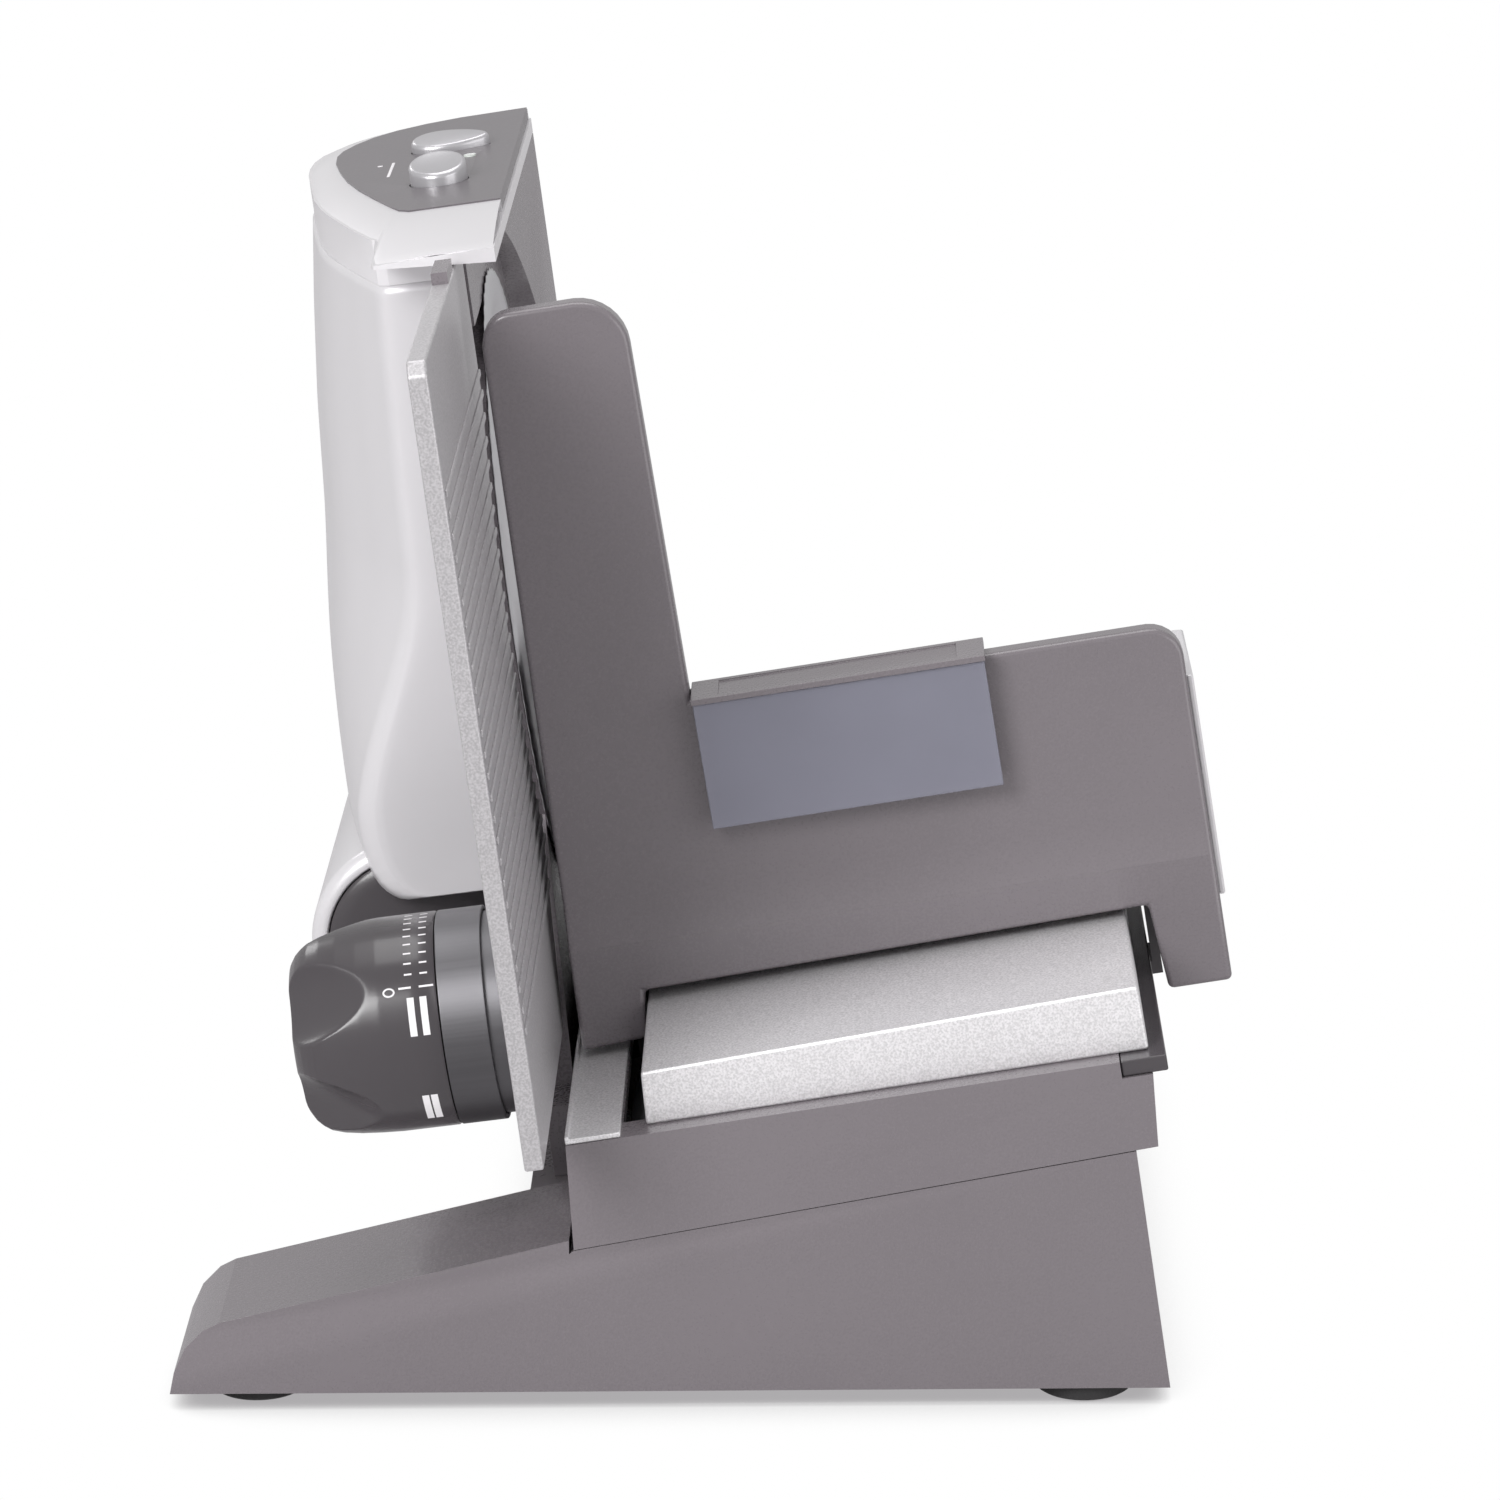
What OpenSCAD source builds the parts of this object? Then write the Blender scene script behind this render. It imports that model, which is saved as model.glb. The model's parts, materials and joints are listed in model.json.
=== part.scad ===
// Food slicer: a tilted household slicer with a sliding carriage, a round blade and a stop plate.
// World frame: X from the motor side to the carriage side, Y away from the operator, Z up, floor at 0.
// Two tilted frames share one pivot, the lower left front corner of the rail block:
// the table frame carries the carriage, the blade frame carries blade, stop plate and motor.

/* [Stance] */
// Tilt of the table, the deck and the carriage
tilt = 8.6; // [7:0.1:10]
// Tilt of the blade, the stop plate and the motor housing
blade_tilt = 6.8; // [6:0.1:8]
// Height of the rubber feet below the base
foot_h = 5; // [3:0.5:8]
// Radius of a foot
foot_r = 14; // [12:0.1:14.5]
// Height of the rail block's lower corner above the floor
pivot_z = 48.5; // [47:0.5:52]
// Distance of that corner to the left of the base's middle
pivot_left = 27.5; // [24:0.5:30]

/* [Base] */
// Width of the base at the floor
base_w = 292; // [288:1:300]
// Depth of the base under the rail block
body_d = 330; // [326:1:340]
// Depth of the outrigger lobe in front
lobe_d = 56; // [50:1:58]
// Wall of the base and the rail block
base_wall = 3; // [2.4:0.1:3.6]
// Thickness of the base's floor plate
floor_t = 3; // [2:0.5:4]
// Slope of the seam between base and rail block, over the table's tilt
seam_rise = 4.6; // [3:0.1:5]

/* [Rail block] */
// Width of the rail block
rail_w = 172.3; // [171:0.1:173]
// Height of the rail block
rail_h = 32; // [30:0.5:33]
// Radius of the steel guide rod
guide_rod_r = 5; // [4:0.1:6]
// Distance of the guide rod from the block's left side
guide_u = 22.75; // [22:0.25:23.5]
// Height of the guide rod above the block's lower edge
guide_w = 16; // [14:0.5:17]
// Width of the slot above the guide rod
slot_w = 6.5; // [6:0.1:7.5]

/* [Deck] */
// Height of the deck cover at its left end
deck_h = 16; // [14:0.5:16.5]
// Further height of the deck cover at its right end
deck_rise = 3.2; // [1:0.1:3.4]
// Sheet thickness of deck cover and tray
deck_t = 1.6; // [1:0.1:2]
// Distance of the deck cover's front from the base's front
deck_y = 8; // [5:0.5:12]

/* [Carriage] */
// Distance of the carriage's front wall from the base's front, at rest
wall_y = 82; // [78:0.5:86]
// Thickness of the carriage wall
wall_t = 9; // [8:0.5:10]
// How far the skirt stands out in front of the wall
flare = 5; // [3:0.5:6]
// Depth of the carriage table behind the wall
table_d = 171; // [150:1:176]
// Height of the table's surface in the table frame
table_w = 80; // [79:0.5:83]
// Thickness of the table plate
table_t = 3; // [2:0.5:4]
// Height of the tall part of the wall
tall_w = 261; // [250:1:263]
// Right edge of the tall part
tall_u = 55.3; // [50:0.1:60]
// Height of the low part of the wall
low_w = 137; // [134:0.5:140]
// How far the carriage's right edge stands beyond the rail block
carriage_over = 29.7; // [26:0.1:33]
// Gap between the blade's cutting plane and the carriage
blade_gap = 3.5; // [3:0.1:4.5]
// Length of the guide shoe
shoe_l = 90; // [70:1:90]
// Thickness of the liner behind the wall
liner_t = 1.5; // [1:0.1:2]
// Furthest travel towards the operator
travel_near = 75; // [60:1:76]
// Furthest travel past the blade
travel_far = 130; // [110:1:130]

/* [Food holder] */
// Width of the food holder's front plate
holder_w = 87.5; // [80:0.5:90]
// Drop of the front plate below the wall's top
holder_drop = 38.2; // [34:0.1:42]
// Thickness of the translucent front plate
holder_t = 3; // [2:0.5:4]
// Thickness of the bridge over the wall
bridge_t = 1.8; // [1.4:0.1:3]
// Depth of the pusher plate
pusher_d = 98; // [80:1:105]
// Length of a pusher pin
pin_l = 3.5; // [2:0.5:3.6]

/* [Blade] */
// Radius of the blade
blade_r = 95; // [92:0.5:95.5]
// Thickness of the blade
blade_t = 1.2; // [1:0.1:1.5]
// Number of waves in the cutting edge
blade_waves = 66; // [40:1:80]
// Distance of the blade's axis from the base's front
blade_y = 195; // [193:1:198]
// Height of the blade's axis in the blade frame
blade_q = 159; // [157:0.5:161]
// Radius of the blade spindle
spindle_r = 6; // [5:0.1:6.5]

/* [Blade plate] */
// Thickness of the blade plate
plate_t = 8; // [7:0.1:9]
// Height of the blade plate's top in the blade frame
plate_q = 275; // [272:1:276]
// Distance of the plate's far edge from the base's front
plate_far = 325; // [320:1:326]

/* [Stop plate] */
// Slice thickness that is set at rest
slice_rest = 2; // [1.8:0.1:3]
// Greatest slice thickness
slice_max = 12; // [10:0.5:12]
// Thickness of the stop plate at its rim
fence_t = 5.6; // [5:0.1:6]
// Distance of the stop plate's near edge in front of the base
fence_near = 45; // [40:1:50]
// Lower edge of the stop plate in the blade frame
fence_low = 40.5; // [39:0.5:41]
// Upper edge of the stop plate in the blade frame
fence_high = 274.8; // [270:0.1:275]
// Radius of the rods that guide the stop plate
fence_rod_r = 4; // [3:0.1:4.5]

/* [Thickness knob] */
// Radius of the knob and its collar
knob_r = 31.3; // [30:0.1:32]
// Length of the knob
knob_l = 44; // [40:0.5:48]
// Length of the collar
collar_l = 13.5; // [12:0.5:14]
// Distance of the knob's axis from the base's front
knob_y = 20; // [17:0.5:23]
// Height of the knob's axis in the blade frame
knob_q = 69; // [66:0.5:71]
// Radius of the knob's spindle
screw_r = 5; // [4:0.1:6]
// Number of finger scoops
scoops = 5; // [4:1:6]
// Radius of a scoop's groove
scoop_r = 20; // [16:0.5:24]

/* [Housing] */
// Greatest bulge of the motor housing, left of the blade plate
bulge = 66.1; // [65:0.1:66.5]
// Wall of the motor housing
housing_wall = 2.6; // [2:0.1:3]
// Height of the hood's top in the blade frame
hood_q = 280; // [279:0.5:283]
// Thickness of the control panel
panel_t = 4; // [3:0.5:5]
// Overhang of hood and panel to the right of the cutting plane
visor_over = 10.5; // [8:0.5:11]
// Distance of the visor's near edge from the base's front
visor_near = 90.5; // [88:0.5:98]
// Radius of the drum-shaped pod
pod_r = 33; // [31:0.5:33.5]

/* [Drive] */
// Teeth on the worm wheel
wheel_teeth = 60; // [58:1:61]
// Tooth size, pitch diameter over teeth
tooth_module = 1.25; // [1.2:0.01:1.27]
// Pitch radius of the worm
worm_r = 7; // [6.8:0.1:7.4]
// Face width of the worm wheel
wheel_face = 8; // [6:0.5:9]
// Radius of the motor can
motor_r = 20.5; // [18:0.5:21]
// Length of the motor can
motor_l = 54; // [46:1:56]
// Radius of the motor shaft
shaft_r = 4; // [3:0.1:4.5]

/* [Buttons] */
// Half length of the long button
long_button_a = 12.5; // [10:0.5:13]
// Half width of the long button
long_button_b = 7.4; // [6:0.1:8]
// Radius of the round button
round_button_r = 9; // [8:0.5:10]
// Travel of a button
button_travel = 1; // [0.6:0.1:1.1]

/* [Fits] */
// Radial clearance of a shaft that turns or slides in a hole
running = 0.05; // [0.02:0.01:0.09]
// Clearance between pieces that pass each other
passing = 0.4; // [0.3:0.05:0.6]
// Clearance round a fixed piece in its seat
seat = 0.1; // [0.05:0.05:0.2]

/* [Hidden] */
$fn = 64;
eps = 0.01;
plastic = "#6f686c";
pearl = "#c9c6c8";
silver = "#b4b2b4";
steel = "#c4c6c9";
charcoal = "#3f3b3e";

// Place of the row frame's origin: the middle of the object's box, on the floor
nose_x = -base_w / 2 - 0.7;
carriage_u = rail_w + carriage_over;
leg_u = carriage_u;
leg_w = 27.2;
right_x = -pivot_left + leg_u * cos(tilt) - leg_w * sin(tilt);
middle_x = (nose_x + right_x) / 2;
middle_y = (body_d - fence_near) / 2;

// Blade frame: p across, y away, q up along the blade
lean = tilt - blade_tilt;
cut_p = 1;
plate_p1 = cut_p - blade_t - passing;
plate_p0 = plate_p1 - plate_t;
visor_p = cut_p + visor_over;
hub_r = 27;
hub_p0 = plate_p1 - 3.8;
bush_r = spindle_r + 2;
boss_r = bush_r + 6;
boss_p = plate_p0 - 17.4;
guard_r = blade_r - 4;
recess_r = blade_r + 4;
bowl_r = blade_r + 15;
near_q = 22;
near_y = blade_y - 65.5;

// Stop plate
fence_p1 = cut_p - slice_rest;
fence_p0 = fence_p1 - fence_t;
pocket_t = 3;
pocket_r = knob_r + 2;
retract = slice_max - slice_rest;
fence_far = near_y - 4.5;
housing_near = fence_far + 1;
hood_bulge = bulge - 16.5;
hood_low = plate_q - 9;
rod_places = [[knob_y + 40, knob_q - 23], [knob_y + 60, knob_q - 3]];
nut_r = 9;
nut_l = 18;
collar_t = 1.3;
sleeve_r = knob_r - collar_t - passing;
sleeve_lap = 1.1;

// Knob and collar, left of the stop plate's furthest place
collar_p1 = fence_p0 + pocket_t - retract - passing;
collar_p0 = collar_p1 - collar_l;
knob_p1 = collar_p0 - passing;
knob_p0 = knob_p1 - knob_l;
journal_r = 24;
journal_l = 15;
arm_p1 = fence_p0 - retract - passing;
arm_p0 = arm_p1 - 8;

// Table frame: u across, y away, w up from the rail block's corner
rail_lean = 3;
notch_u = rail_w - 7.3;
deck_u0 = guide_u + slot_w / 2 + 0.5;
deck_u1 = rail_w + 1.6;
frame_w = rail_h + deck_h + deck_rise + 3.4;
wall_y1 = wall_y + wall_t;
table_y1 = wall_y1 + table_d;
shoe_y = travel_near + 25;
hook_u = rail_w + 6.9;
pads_u = rail_w - 22.3;
beam_u = guide_u + 17.25;
band_low = table_w - 13;
side_t = 2;

// Food holder
holder_u = tall_u + 0.7;
arm_y = wall_y1 + liner_t + passing;
arm_t = 2.4;
pusher_u = 12;

// Drive
worm_q = blade_q - wheel_teeth * tooth_module / 2 - worm_r;
wheel_p = plate_p0 - 25.4;
pitch = PI * tooth_module;
motor_y = blade_y + 41;
bearing_r = 7;

// Buttons
stem_r = 3;
round_hole = stem_r + running;
round_y = plate_far - 129;
long_y = plate_far - 67;
button_p = visor_p - 22.1;
stem_p = button_p - 3;
lens_p = visor_p - 14.8;
lens_y = plate_far - 87;
stem_q = hood_q - 9;
cap_q = hood_q + button_travel + passing;

// Pod
pod_p = plate_p0 - 39.4;
pod_q = blade_q - 104;
pod_y0 = housing_near + 24;
pod_y1 = plate_far - 27;

// Left edge of what passes the blade, at the height w of the table frame
function edge_u(w) = (cut_p + blade_gap + w * sin(lean)) / cos(lean);
// Points of an arc round c from angle a to angle b
function arc(c, r, a, b, n = 10) = [for (i = [0:n]) let (t = a + (b - a) * i / n) c + r * [cos(t), sin(t)]];
// Outline of the long button, wider at its left end, grown by e
function leaf(e) = [for (i = [0:47]) let (t = 7.5 * i)
    [(long_button_a + e) * cos(t), (long_button_b + e) * sin(t) * (0.84 - 0.24 * cos(t))]];
// Plan of the motor housing: share of its bulge, and share of its depth from the near end
plan = [[0, 0], [0.31, 0], [0.38, 0.012], [0.46, 0.07], [0.55, 0.135], [0.628, 0.2], [0.715, 0.27],
    [0.794, 0.344], [0.868, 0.44], [0.916, 0.537], [0.965, 0.64], [0.99, 0.7], [1, 0.76], [0.99, 0.82],
    [0.95, 0.875], [0.87, 0.925], [0.74, 0.965], [0.57, 0.99], [0.4, 1], [0, 1]];
function housing_plan(b, inset = 0) = [for (k = plan)
    [plate_p0 - (b - inset) * k[0], housing_near + inset + k[1] * (plate_far - housing_near - 2 * inset)]];
// Height of the deck cover's top
function deck_top(u) = rail_h + deck_h + deck_rise * (u - deck_u0) / (deck_u1 - deck_u0);

module placed() { translate([-middle_x, -middle_y, 0]) children(); }
module in_table() { placed() translate([-pivot_left, 0, pivot_z]) rotate([0, -tilt, 0]) children(); }
module in_blade() { placed() translate([-pivot_left, 0, pivot_z]) rotate([0, -blade_tilt, 0]) children(); }
// Outline in x and z, from y0 to y1
module along_y(points, y0, y1) {
    translate([0, y1, 0]) rotate([90, 0, 0]) linear_extrude(y1 - y0) polygon(points);
}
// Outline in y and z, from x0 to x1
module along_x(points, x0, x1) {
    translate([x0, 0, 0]) rotate([90, 0, 90]) linear_extrude(x1 - x0) polygon(points);
}
module box(low, high) { translate(low) cube(high - low); }
module rod_x(r, x0, x1, y, z) { translate([x0, y, z]) rotate([0, 90, 0]) cylinder(r = r, h = x1 - x0); }
module rod_y(r, y0, y1, x, z) { translate([x, y1, z]) rotate([90, 0, 0]) cylinder(r = r, h = y1 - y0); }
module rod_z(r, z0, z1, x, y) { translate([x, y, z0]) cylinder(r = r, h = z1 - z0); }

// Base
left_x = -43;
right_top = [base_w / 2 - 10.2, pivot_z + (base_w / 2 - 10.2 + pivot_left) * tan(tilt) + seam_rise];
back_y = body_d - 20;
bosses = [[-18, lobe_d + 30], [-18, back_y], [98, 30], [base_w / 2 - 23, back_y]];
feet_at = [[nose_x + 24.7, 20.5], [-18, back_y], [base_w / 2 - 24.8, 16], [base_w / 2 - 23, back_y]];
boss_h = 24;

function lobe_points(e) = [
    [nose_x + e, foot_h], [nose_x + 1.4 + e, foot_h + 6.6], [nose_x + 4.9 + e * 0.8, foot_h + 14.1 - e * 0.6],
    [nose_x + 10.3 + e * 0.6, foot_h + 19.6 - e * 0.8], [nose_x + 15.1 + e * 0.3, foot_h + 22 - e],
    [-pivot_left - 1.4, pivot_z + 3.1 - e * 1.03], [-pivot_left - 1.4, foot_h]];
function body_points(e) = [
    [left_x + e, foot_h], [left_x + e, pivot_z - seat + (left_x + pivot_left) * tan(blade_tilt) - e],
    [-pivot_left, pivot_z - seat - e],
    [-pivot_left, pivot_z - e], right_top - [e * 1.05, e], [base_w / 2 - e, foot_h]];

module base_housing() color(plastic) placed() difference() {
    union() {
        difference() {
            union() {
                along_y(lobe_points(0), 0, lobe_d);
                along_y(body_points(0), lobe_d - 6, body_d);
                along_y([[-pivot_left - 1.4, foot_h], [-pivot_left - 1.4, pivot_z - 1], [-pivot_left, pivot_z],
                    right_top, [base_w / 2, foot_h]], 0, lobe_d);
            }
            along_y(lobe_points(base_wall), base_wall, lobe_d - base_wall);
            along_y(body_points(base_wall), lobe_d, body_d - base_wall);
            along_y([[-pivot_left - 8, foot_h - eps], [-pivot_left - 8, pivot_z - 5],
                [-pivot_left, pivot_z - base_wall - 1], right_top - [base_wall * 1.05, base_wall],
                [base_w / 2 - base_wall, foot_h - eps]], base_wall, lobe_d + eps);
        }
        for (b = bosses) rod_z(5, foot_h + floor_t, foot_h + floor_t + boss_h, b.x, b.y);
        for (b = bosses) box([b.x, b.y - 1, foot_h + floor_t],
            [b.x > 0 ? base_w / 2 - 5 : b.x + eps, b.y + 1, foot_h + floor_t + boss_h]);
        for (b = bosses) if (b.x < 0)
            box([left_x + 1, b.y - 1, foot_h + floor_t], [b.x, b.y + 1, foot_h + floor_t + boss_h]);
    }
    for (b = bosses) rod_z(1.6, 0, foot_h + floor_t + 14, b.x, b.y);
    rod_y(7, body_d - base_wall - 2, body_d + 1, 60, 24);
}

module base_floor() color(charcoal) placed() difference() {
    union() {
        box([nose_x + 6, base_wall + 1, foot_h], [-pivot_left, lobe_d - base_wall - 1, foot_h + floor_t]);
        box([-pivot_left - eps, base_wall + 1, foot_h],
            [base_w / 2 - base_wall - 1, lobe_d + 8, foot_h + floor_t]);
        box([left_x + base_wall + 0.6, lobe_d + 0.6, foot_h],
            [base_w / 2 - base_wall - 1, body_d - base_wall - 0.6, foot_h + floor_t]);
    }
    for (f = feet_at) rod_z(4, 0, foot_h + floor_t + 1, f.x, f.y);
    for (b = bosses) if (b.y != back_y) rod_z(1.9, 0, foot_h + floor_t + 1, b.x, b.y);
}

module feet() color(charcoal) placed() for (f = feet_at) difference() {
    union() {
        rod_z(foot_r, 0.8, foot_h, f.x, f.y);
        translate([f.x, f.y, 0]) cylinder(r1 = foot_r - 1.2, r2 = foot_r, h = 0.8);
        rod_z(4, foot_h - eps, foot_h + floor_t, f.x, f.y);
    }
    if (f.y == back_y) rod_z(1.9, -1, foot_h + floor_t + 1, f.x, f.y);
    if (f.y == back_y) rod_z(4, -1, 2.2, f.x, f.y);
}

module base_screws() color(steel) placed() for (b = bosses) {
    low = b.y == back_y ? 0.6 : foot_h - 1.6;
    rod_z(3.2, low, low + 1.6, b.x, b.y);
    rod_z(1.5, low + 1.6 - eps, foot_h + floor_t + 12, b.x, b.y);
}

module cord_inlet() color(charcoal) placed() difference() {
    union() {
        rod_y(7, body_d - base_wall, body_d, 60, 24);
        rod_y(9.5, body_d - base_wall - 4, body_d - base_wall, 60, 24);
    }
    rod_y(3.6, body_d - base_wall - 5, body_d + 1, 60, 24);
}

module terminal_block() color("ivory") placed() difference() {
    box([48, body_d - 40, foot_h + floor_t], [76, body_d - 26, foot_h + floor_t + 14]);
    for (x = [53, 62, 71]) rod_z(2, foot_h + floor_t + 6, foot_h + floor_t + 15, x, body_d - 33);
}

// Rail block and deck
module rail_block() color(plastic) in_table() difference() {
    union() {
        difference() {
            along_y([[0, 0.2], [rail_w, seam_rise + 0.4], [rail_w + 1.7, rail_h - 5], [notch_u, rail_h - 5],
                [notch_u, rail_h], [rail_lean, rail_h]], 0, body_d);
            along_y([[base_wall, -1], [rail_w - base_wall, -1], [rail_w - base_wall, rail_h - 5 - base_wall],
                [notch_u - base_wall, rail_h - base_wall], [base_wall + 2, rail_h - base_wall]],
                base_wall, body_d - base_wall);
        }
        rod_y(guide_rod_r + 3, base_wall - eps, base_wall + 6, guide_u, guide_w);
        rod_y(guide_rod_r + 3, body_d - base_wall - 5, body_d - base_wall + eps, guide_u, guide_w);
    }
    rod_y(guide_rod_r + seat / 2, base_wall, body_d - base_wall, guide_u, guide_w);
    box([guide_u - slot_w / 2, shoe_y - travel_near - 11, guide_w + guide_rod_r + 2],
        [guide_u + slot_w / 2, shoe_y + shoe_l + travel_far + 1.6, rail_h + 1]);
}

module guide_rod() color(steel) in_table() rod_y(guide_rod_r, base_wall, body_d - base_wall, guide_u, guide_w);

module tray() color(silver) in_table() {
    u1 = guide_u - slot_w / 2 - 0.3;
    box([rail_lean, 0.4, rail_h], [u1, body_d - 6, rail_h + deck_t]);
    box([rail_lean, 0.4, rail_h], [rail_lean + 1.2, body_d - 6, rail_h + deck_t + 1]);
}

module deck_cover() color(silver) in_table() difference() {
    along_y([[deck_u0, rail_h], [deck_u1, rail_h], [deck_u1 - 0.7, deck_top(deck_u1)],
        [deck_u0 + 1, deck_top(deck_u0)]], deck_y, body_d - deck_y);
    along_y([[deck_u0 + deck_t, rail_h - 1], [deck_u1 - deck_t, rail_h - 1],
        [deck_u1 - deck_t - 0.7, deck_top(deck_u1) - deck_t],
        [deck_u0 + 1 + deck_t, deck_top(deck_u0) - deck_t]],
        deck_y + deck_t, body_d - deck_y - deck_t);
}

module right_rail() color(charcoal) in_table()
    box([notch_u + 0.2, 1, rail_h - 4.9], [rail_w + 6.3, body_d - 2, rail_h - seat]);

// Carriage
function carriage_outline() = concat(
    [[edge_u(36), rail_h + 3.6], [edge_u(tall_w - 9), tall_w - 9]],
    arc([edge_u(tall_w) + 9, tall_w - 9], 9, 170, 92, 6),
    arc([tall_u - 15, tall_w - 15], 15, 88, 0, 8),
    [[tall_u, low_w]],
    arc([carriage_u - 10, low_w - 10], 10, 88, 4, 6),
    [[carriage_u, leg_w], [carriage_u - 19.2, leg_w], [carriage_u - 21.6, deck_top(deck_u1) + 2.8],
     [deck_u0 + 0.6, deck_top(deck_u0) + 3.4], [deck_u0 - 1, rail_h + 4.6]]);

module carriage_wall() color(plastic) in_table() difference() {
    intersection() {
        along_y(carriage_outline(), wall_y - flare, wall_y1);
        along_x([[wall_y, tall_w + 9], [wall_y, table_w], [wall_y - flare, band_low], [wall_y - flare, 0],
            [wall_y1, 0], [wall_y1, tall_w + 9]], 0, carriage_u + 1);
    }
    along_y([[edge_u(86) + 4, table_w + 6], [edge_u(tall_w - 12) + 4, tall_w - 12], [tall_u - 12, tall_w - 5],
        [tall_u - 4, tall_w - 14], [tall_u - 4, low_w - 4], [carriage_u - 10, low_w - 4],
        [carriage_u - 4, low_w - 12], [carriage_u - 4, table_w + 6]], wall_y + 3, wall_y1 + 1);
}

module carriage_frame() color(plastic) in_table() {
    u0 = edge_u(table_w) + 0.6;
    top = table_w - table_t;
    difference() {
        box([u0, wall_y1, frame_w], [carriage_u, table_y1, top]);
        box([u0 + 3, wall_y1 + 3, frame_w - 1], [carriage_u - 3, table_y1 - 3, top + 1]);
    }
    box([carriage_u - 3, wall_y1, leg_w], [carriage_u, table_y1, frame_w + eps]);
    box([u0 + 3 - eps, wall_y1 + 3 - eps, frame_w], [beam_u, shoe_y + shoe_l + 6, frame_w + 3]);
    box([pads_u - 2, wall_y1 + 3 - eps, frame_w], [carriage_u - 3 + eps, table_y1 - 3 + eps, frame_w + 3]);
    box([beam_u - eps, shoe_y + 20, frame_w], [pads_u - 2 + eps, shoe_y + 26, top]);
}

module carriage_table() color(silver) in_table() difference() {
    box([edge_u(table_w), wall_y1, table_w - table_t], [carriage_u - 3.2, table_y1, table_w]);
    for (i = [0:15]) box([edge_u(table_w) + 14 + i * 11, wall_y1 + 4, table_w - 0.6],
        [edge_u(table_w) + 16 + i * 11, table_y1 - 6, table_w + 1]);
}

module wall_liner() color(silver) in_table() along_y([
    [edge_u(table_w) + 1, table_w], [edge_u(tall_w - 12) + 1, tall_w - 12], [tall_u - 3, tall_w - 12],
    [tall_u - 3, low_w - 1], [carriage_u - 12, low_w - 1], [carriage_u - 3.2, low_w - 10],
    [carriage_u - 3.2, table_w]], wall_y1, wall_y1 + liner_t);

module side_panel() color(pearl) in_table() {
    along_x([[wall_y1, table_w - 30], [wall_y1, low_w - 18], [wall_y1 + 56, low_w - 18],
        [table_y1, table_w + 10], [table_y1, table_w - 30]], carriage_u, carriage_u + side_t);
    along_x([[wall_y1 + liner_t, table_w], [wall_y1 + liner_t, low_w - 18], [wall_y1 + 56, low_w - 18],
        [table_y1, table_w + 10], [table_y1, table_w]], carriage_u - 3, carriage_u + eps);
}

module guide_shoe() color(charcoal) in_table() difference() {
    union() {
        box([guide_u - 8.5, shoe_y, guide_w - 8], [guide_u + 8.5, shoe_y + shoe_l, guide_w + 8]);
        box([guide_u - 2, shoe_y, guide_w + 7], [guide_u + 2, shoe_y + shoe_l, frame_w]);
    }
    rod_y(guide_rod_r + running, shoe_y - 1, shoe_y + shoe_l + 1, guide_u, guide_w);
}

module slide_hooks() color(charcoal) in_table() for (y = [wall_y1 + 19, table_y1 - 42])
    along_y([[rail_w + 3, rail_h - 9.4], [hook_u + 2.8, rail_h - 9.4], [hook_u + 2.8, frame_w],
        [hook_u, frame_w], [hook_u, rail_h - 5.4], [rail_w + 3, rail_h - 5.4]], y, y + 20);

module glide_pads() color("white") in_table() for (y = [wall_y1 + 14, table_y1 - 37])
    box([pads_u, y, deck_top(pads_u + 18) + 0.3], [pads_u + 18, y + 20, frame_w]);

// Food holder
module holder_plate() color([0.62, 0.64, 0.72, 0.6]) in_table() difference() {
    box([holder_u, wall_y - 5 - holder_t, low_w - holder_drop],
        [holder_u + holder_w, wall_y - 5, low_w + passing]);
    for (u = [holder_u + 3, holder_u + holder_w - 4])
        box([u, wall_y - 5.8, low_w - holder_drop + 4], [u + 1, wall_y - 4, low_w - 5]);
}

module holder_bridge() color(plastic) in_table() difference() {
    box([holder_u - 0.3, wall_y - 9, low_w + passing],
        [holder_u + holder_w + 0.3, arm_y + arm_t, low_w + passing + bridge_t]);
    box([holder_u + 8, wall_y - 6, low_w + passing + bridge_t - 0.5],
        [holder_u + holder_w - 8, arm_y, low_w + 9]);
}

module pusher() color(plastic) in_table() {
    box([pusher_u, arm_y, table_w + 1], [pusher_u + 3, arm_y + pusher_d, low_w + 13]);
    box([pusher_u + 3 - eps, arm_y, table_w + 20], [holder_u + holder_w - 1.5, arm_y + arm_t, low_w + passing]);
    for (w = [table_w + 20, table_w + 54])
        box([pusher_u + 3 - eps, arm_y + arm_t - eps, w], [pusher_u + 26, arm_y + 16, w + 2.4]);
}

module pusher_pins() color(steel) in_table() for (i = [0:4], j = [0:2])
    rod_x(0.9, pusher_u - pin_l, pusher_u, arm_y + 14 + i * 18, table_w + 14 + j * 16);

// Blade and its drive
module blade() color(steel) in_blade() difference() {
    n = blade_waves * 5;
    along_x([for (i = [0:n - 1])
        let (a = 360 * i / n, r = blade_r - 0.9 * pow(abs(sin(a * blade_waves / 2)), 2))
        [blade_y + r * cos(a), blade_q + r * sin(a)]], cut_p - blade_t, cut_p);
    rod_x(12, cut_p - 3, cut_p + 1, blade_y, blade_q);
}

module blade_hub() color(charcoal) in_blade() difference() {
    union() {
        rod_x(hub_r, hub_p0, cut_p - blade_t, blade_y, blade_q);
        rod_x(12, cut_p - blade_t - eps, cut_p, blade_y, blade_q);
    }
    rod_x(4.02, hub_p0 - 1, cut_p + 1, blade_y, blade_q);
}

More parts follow.
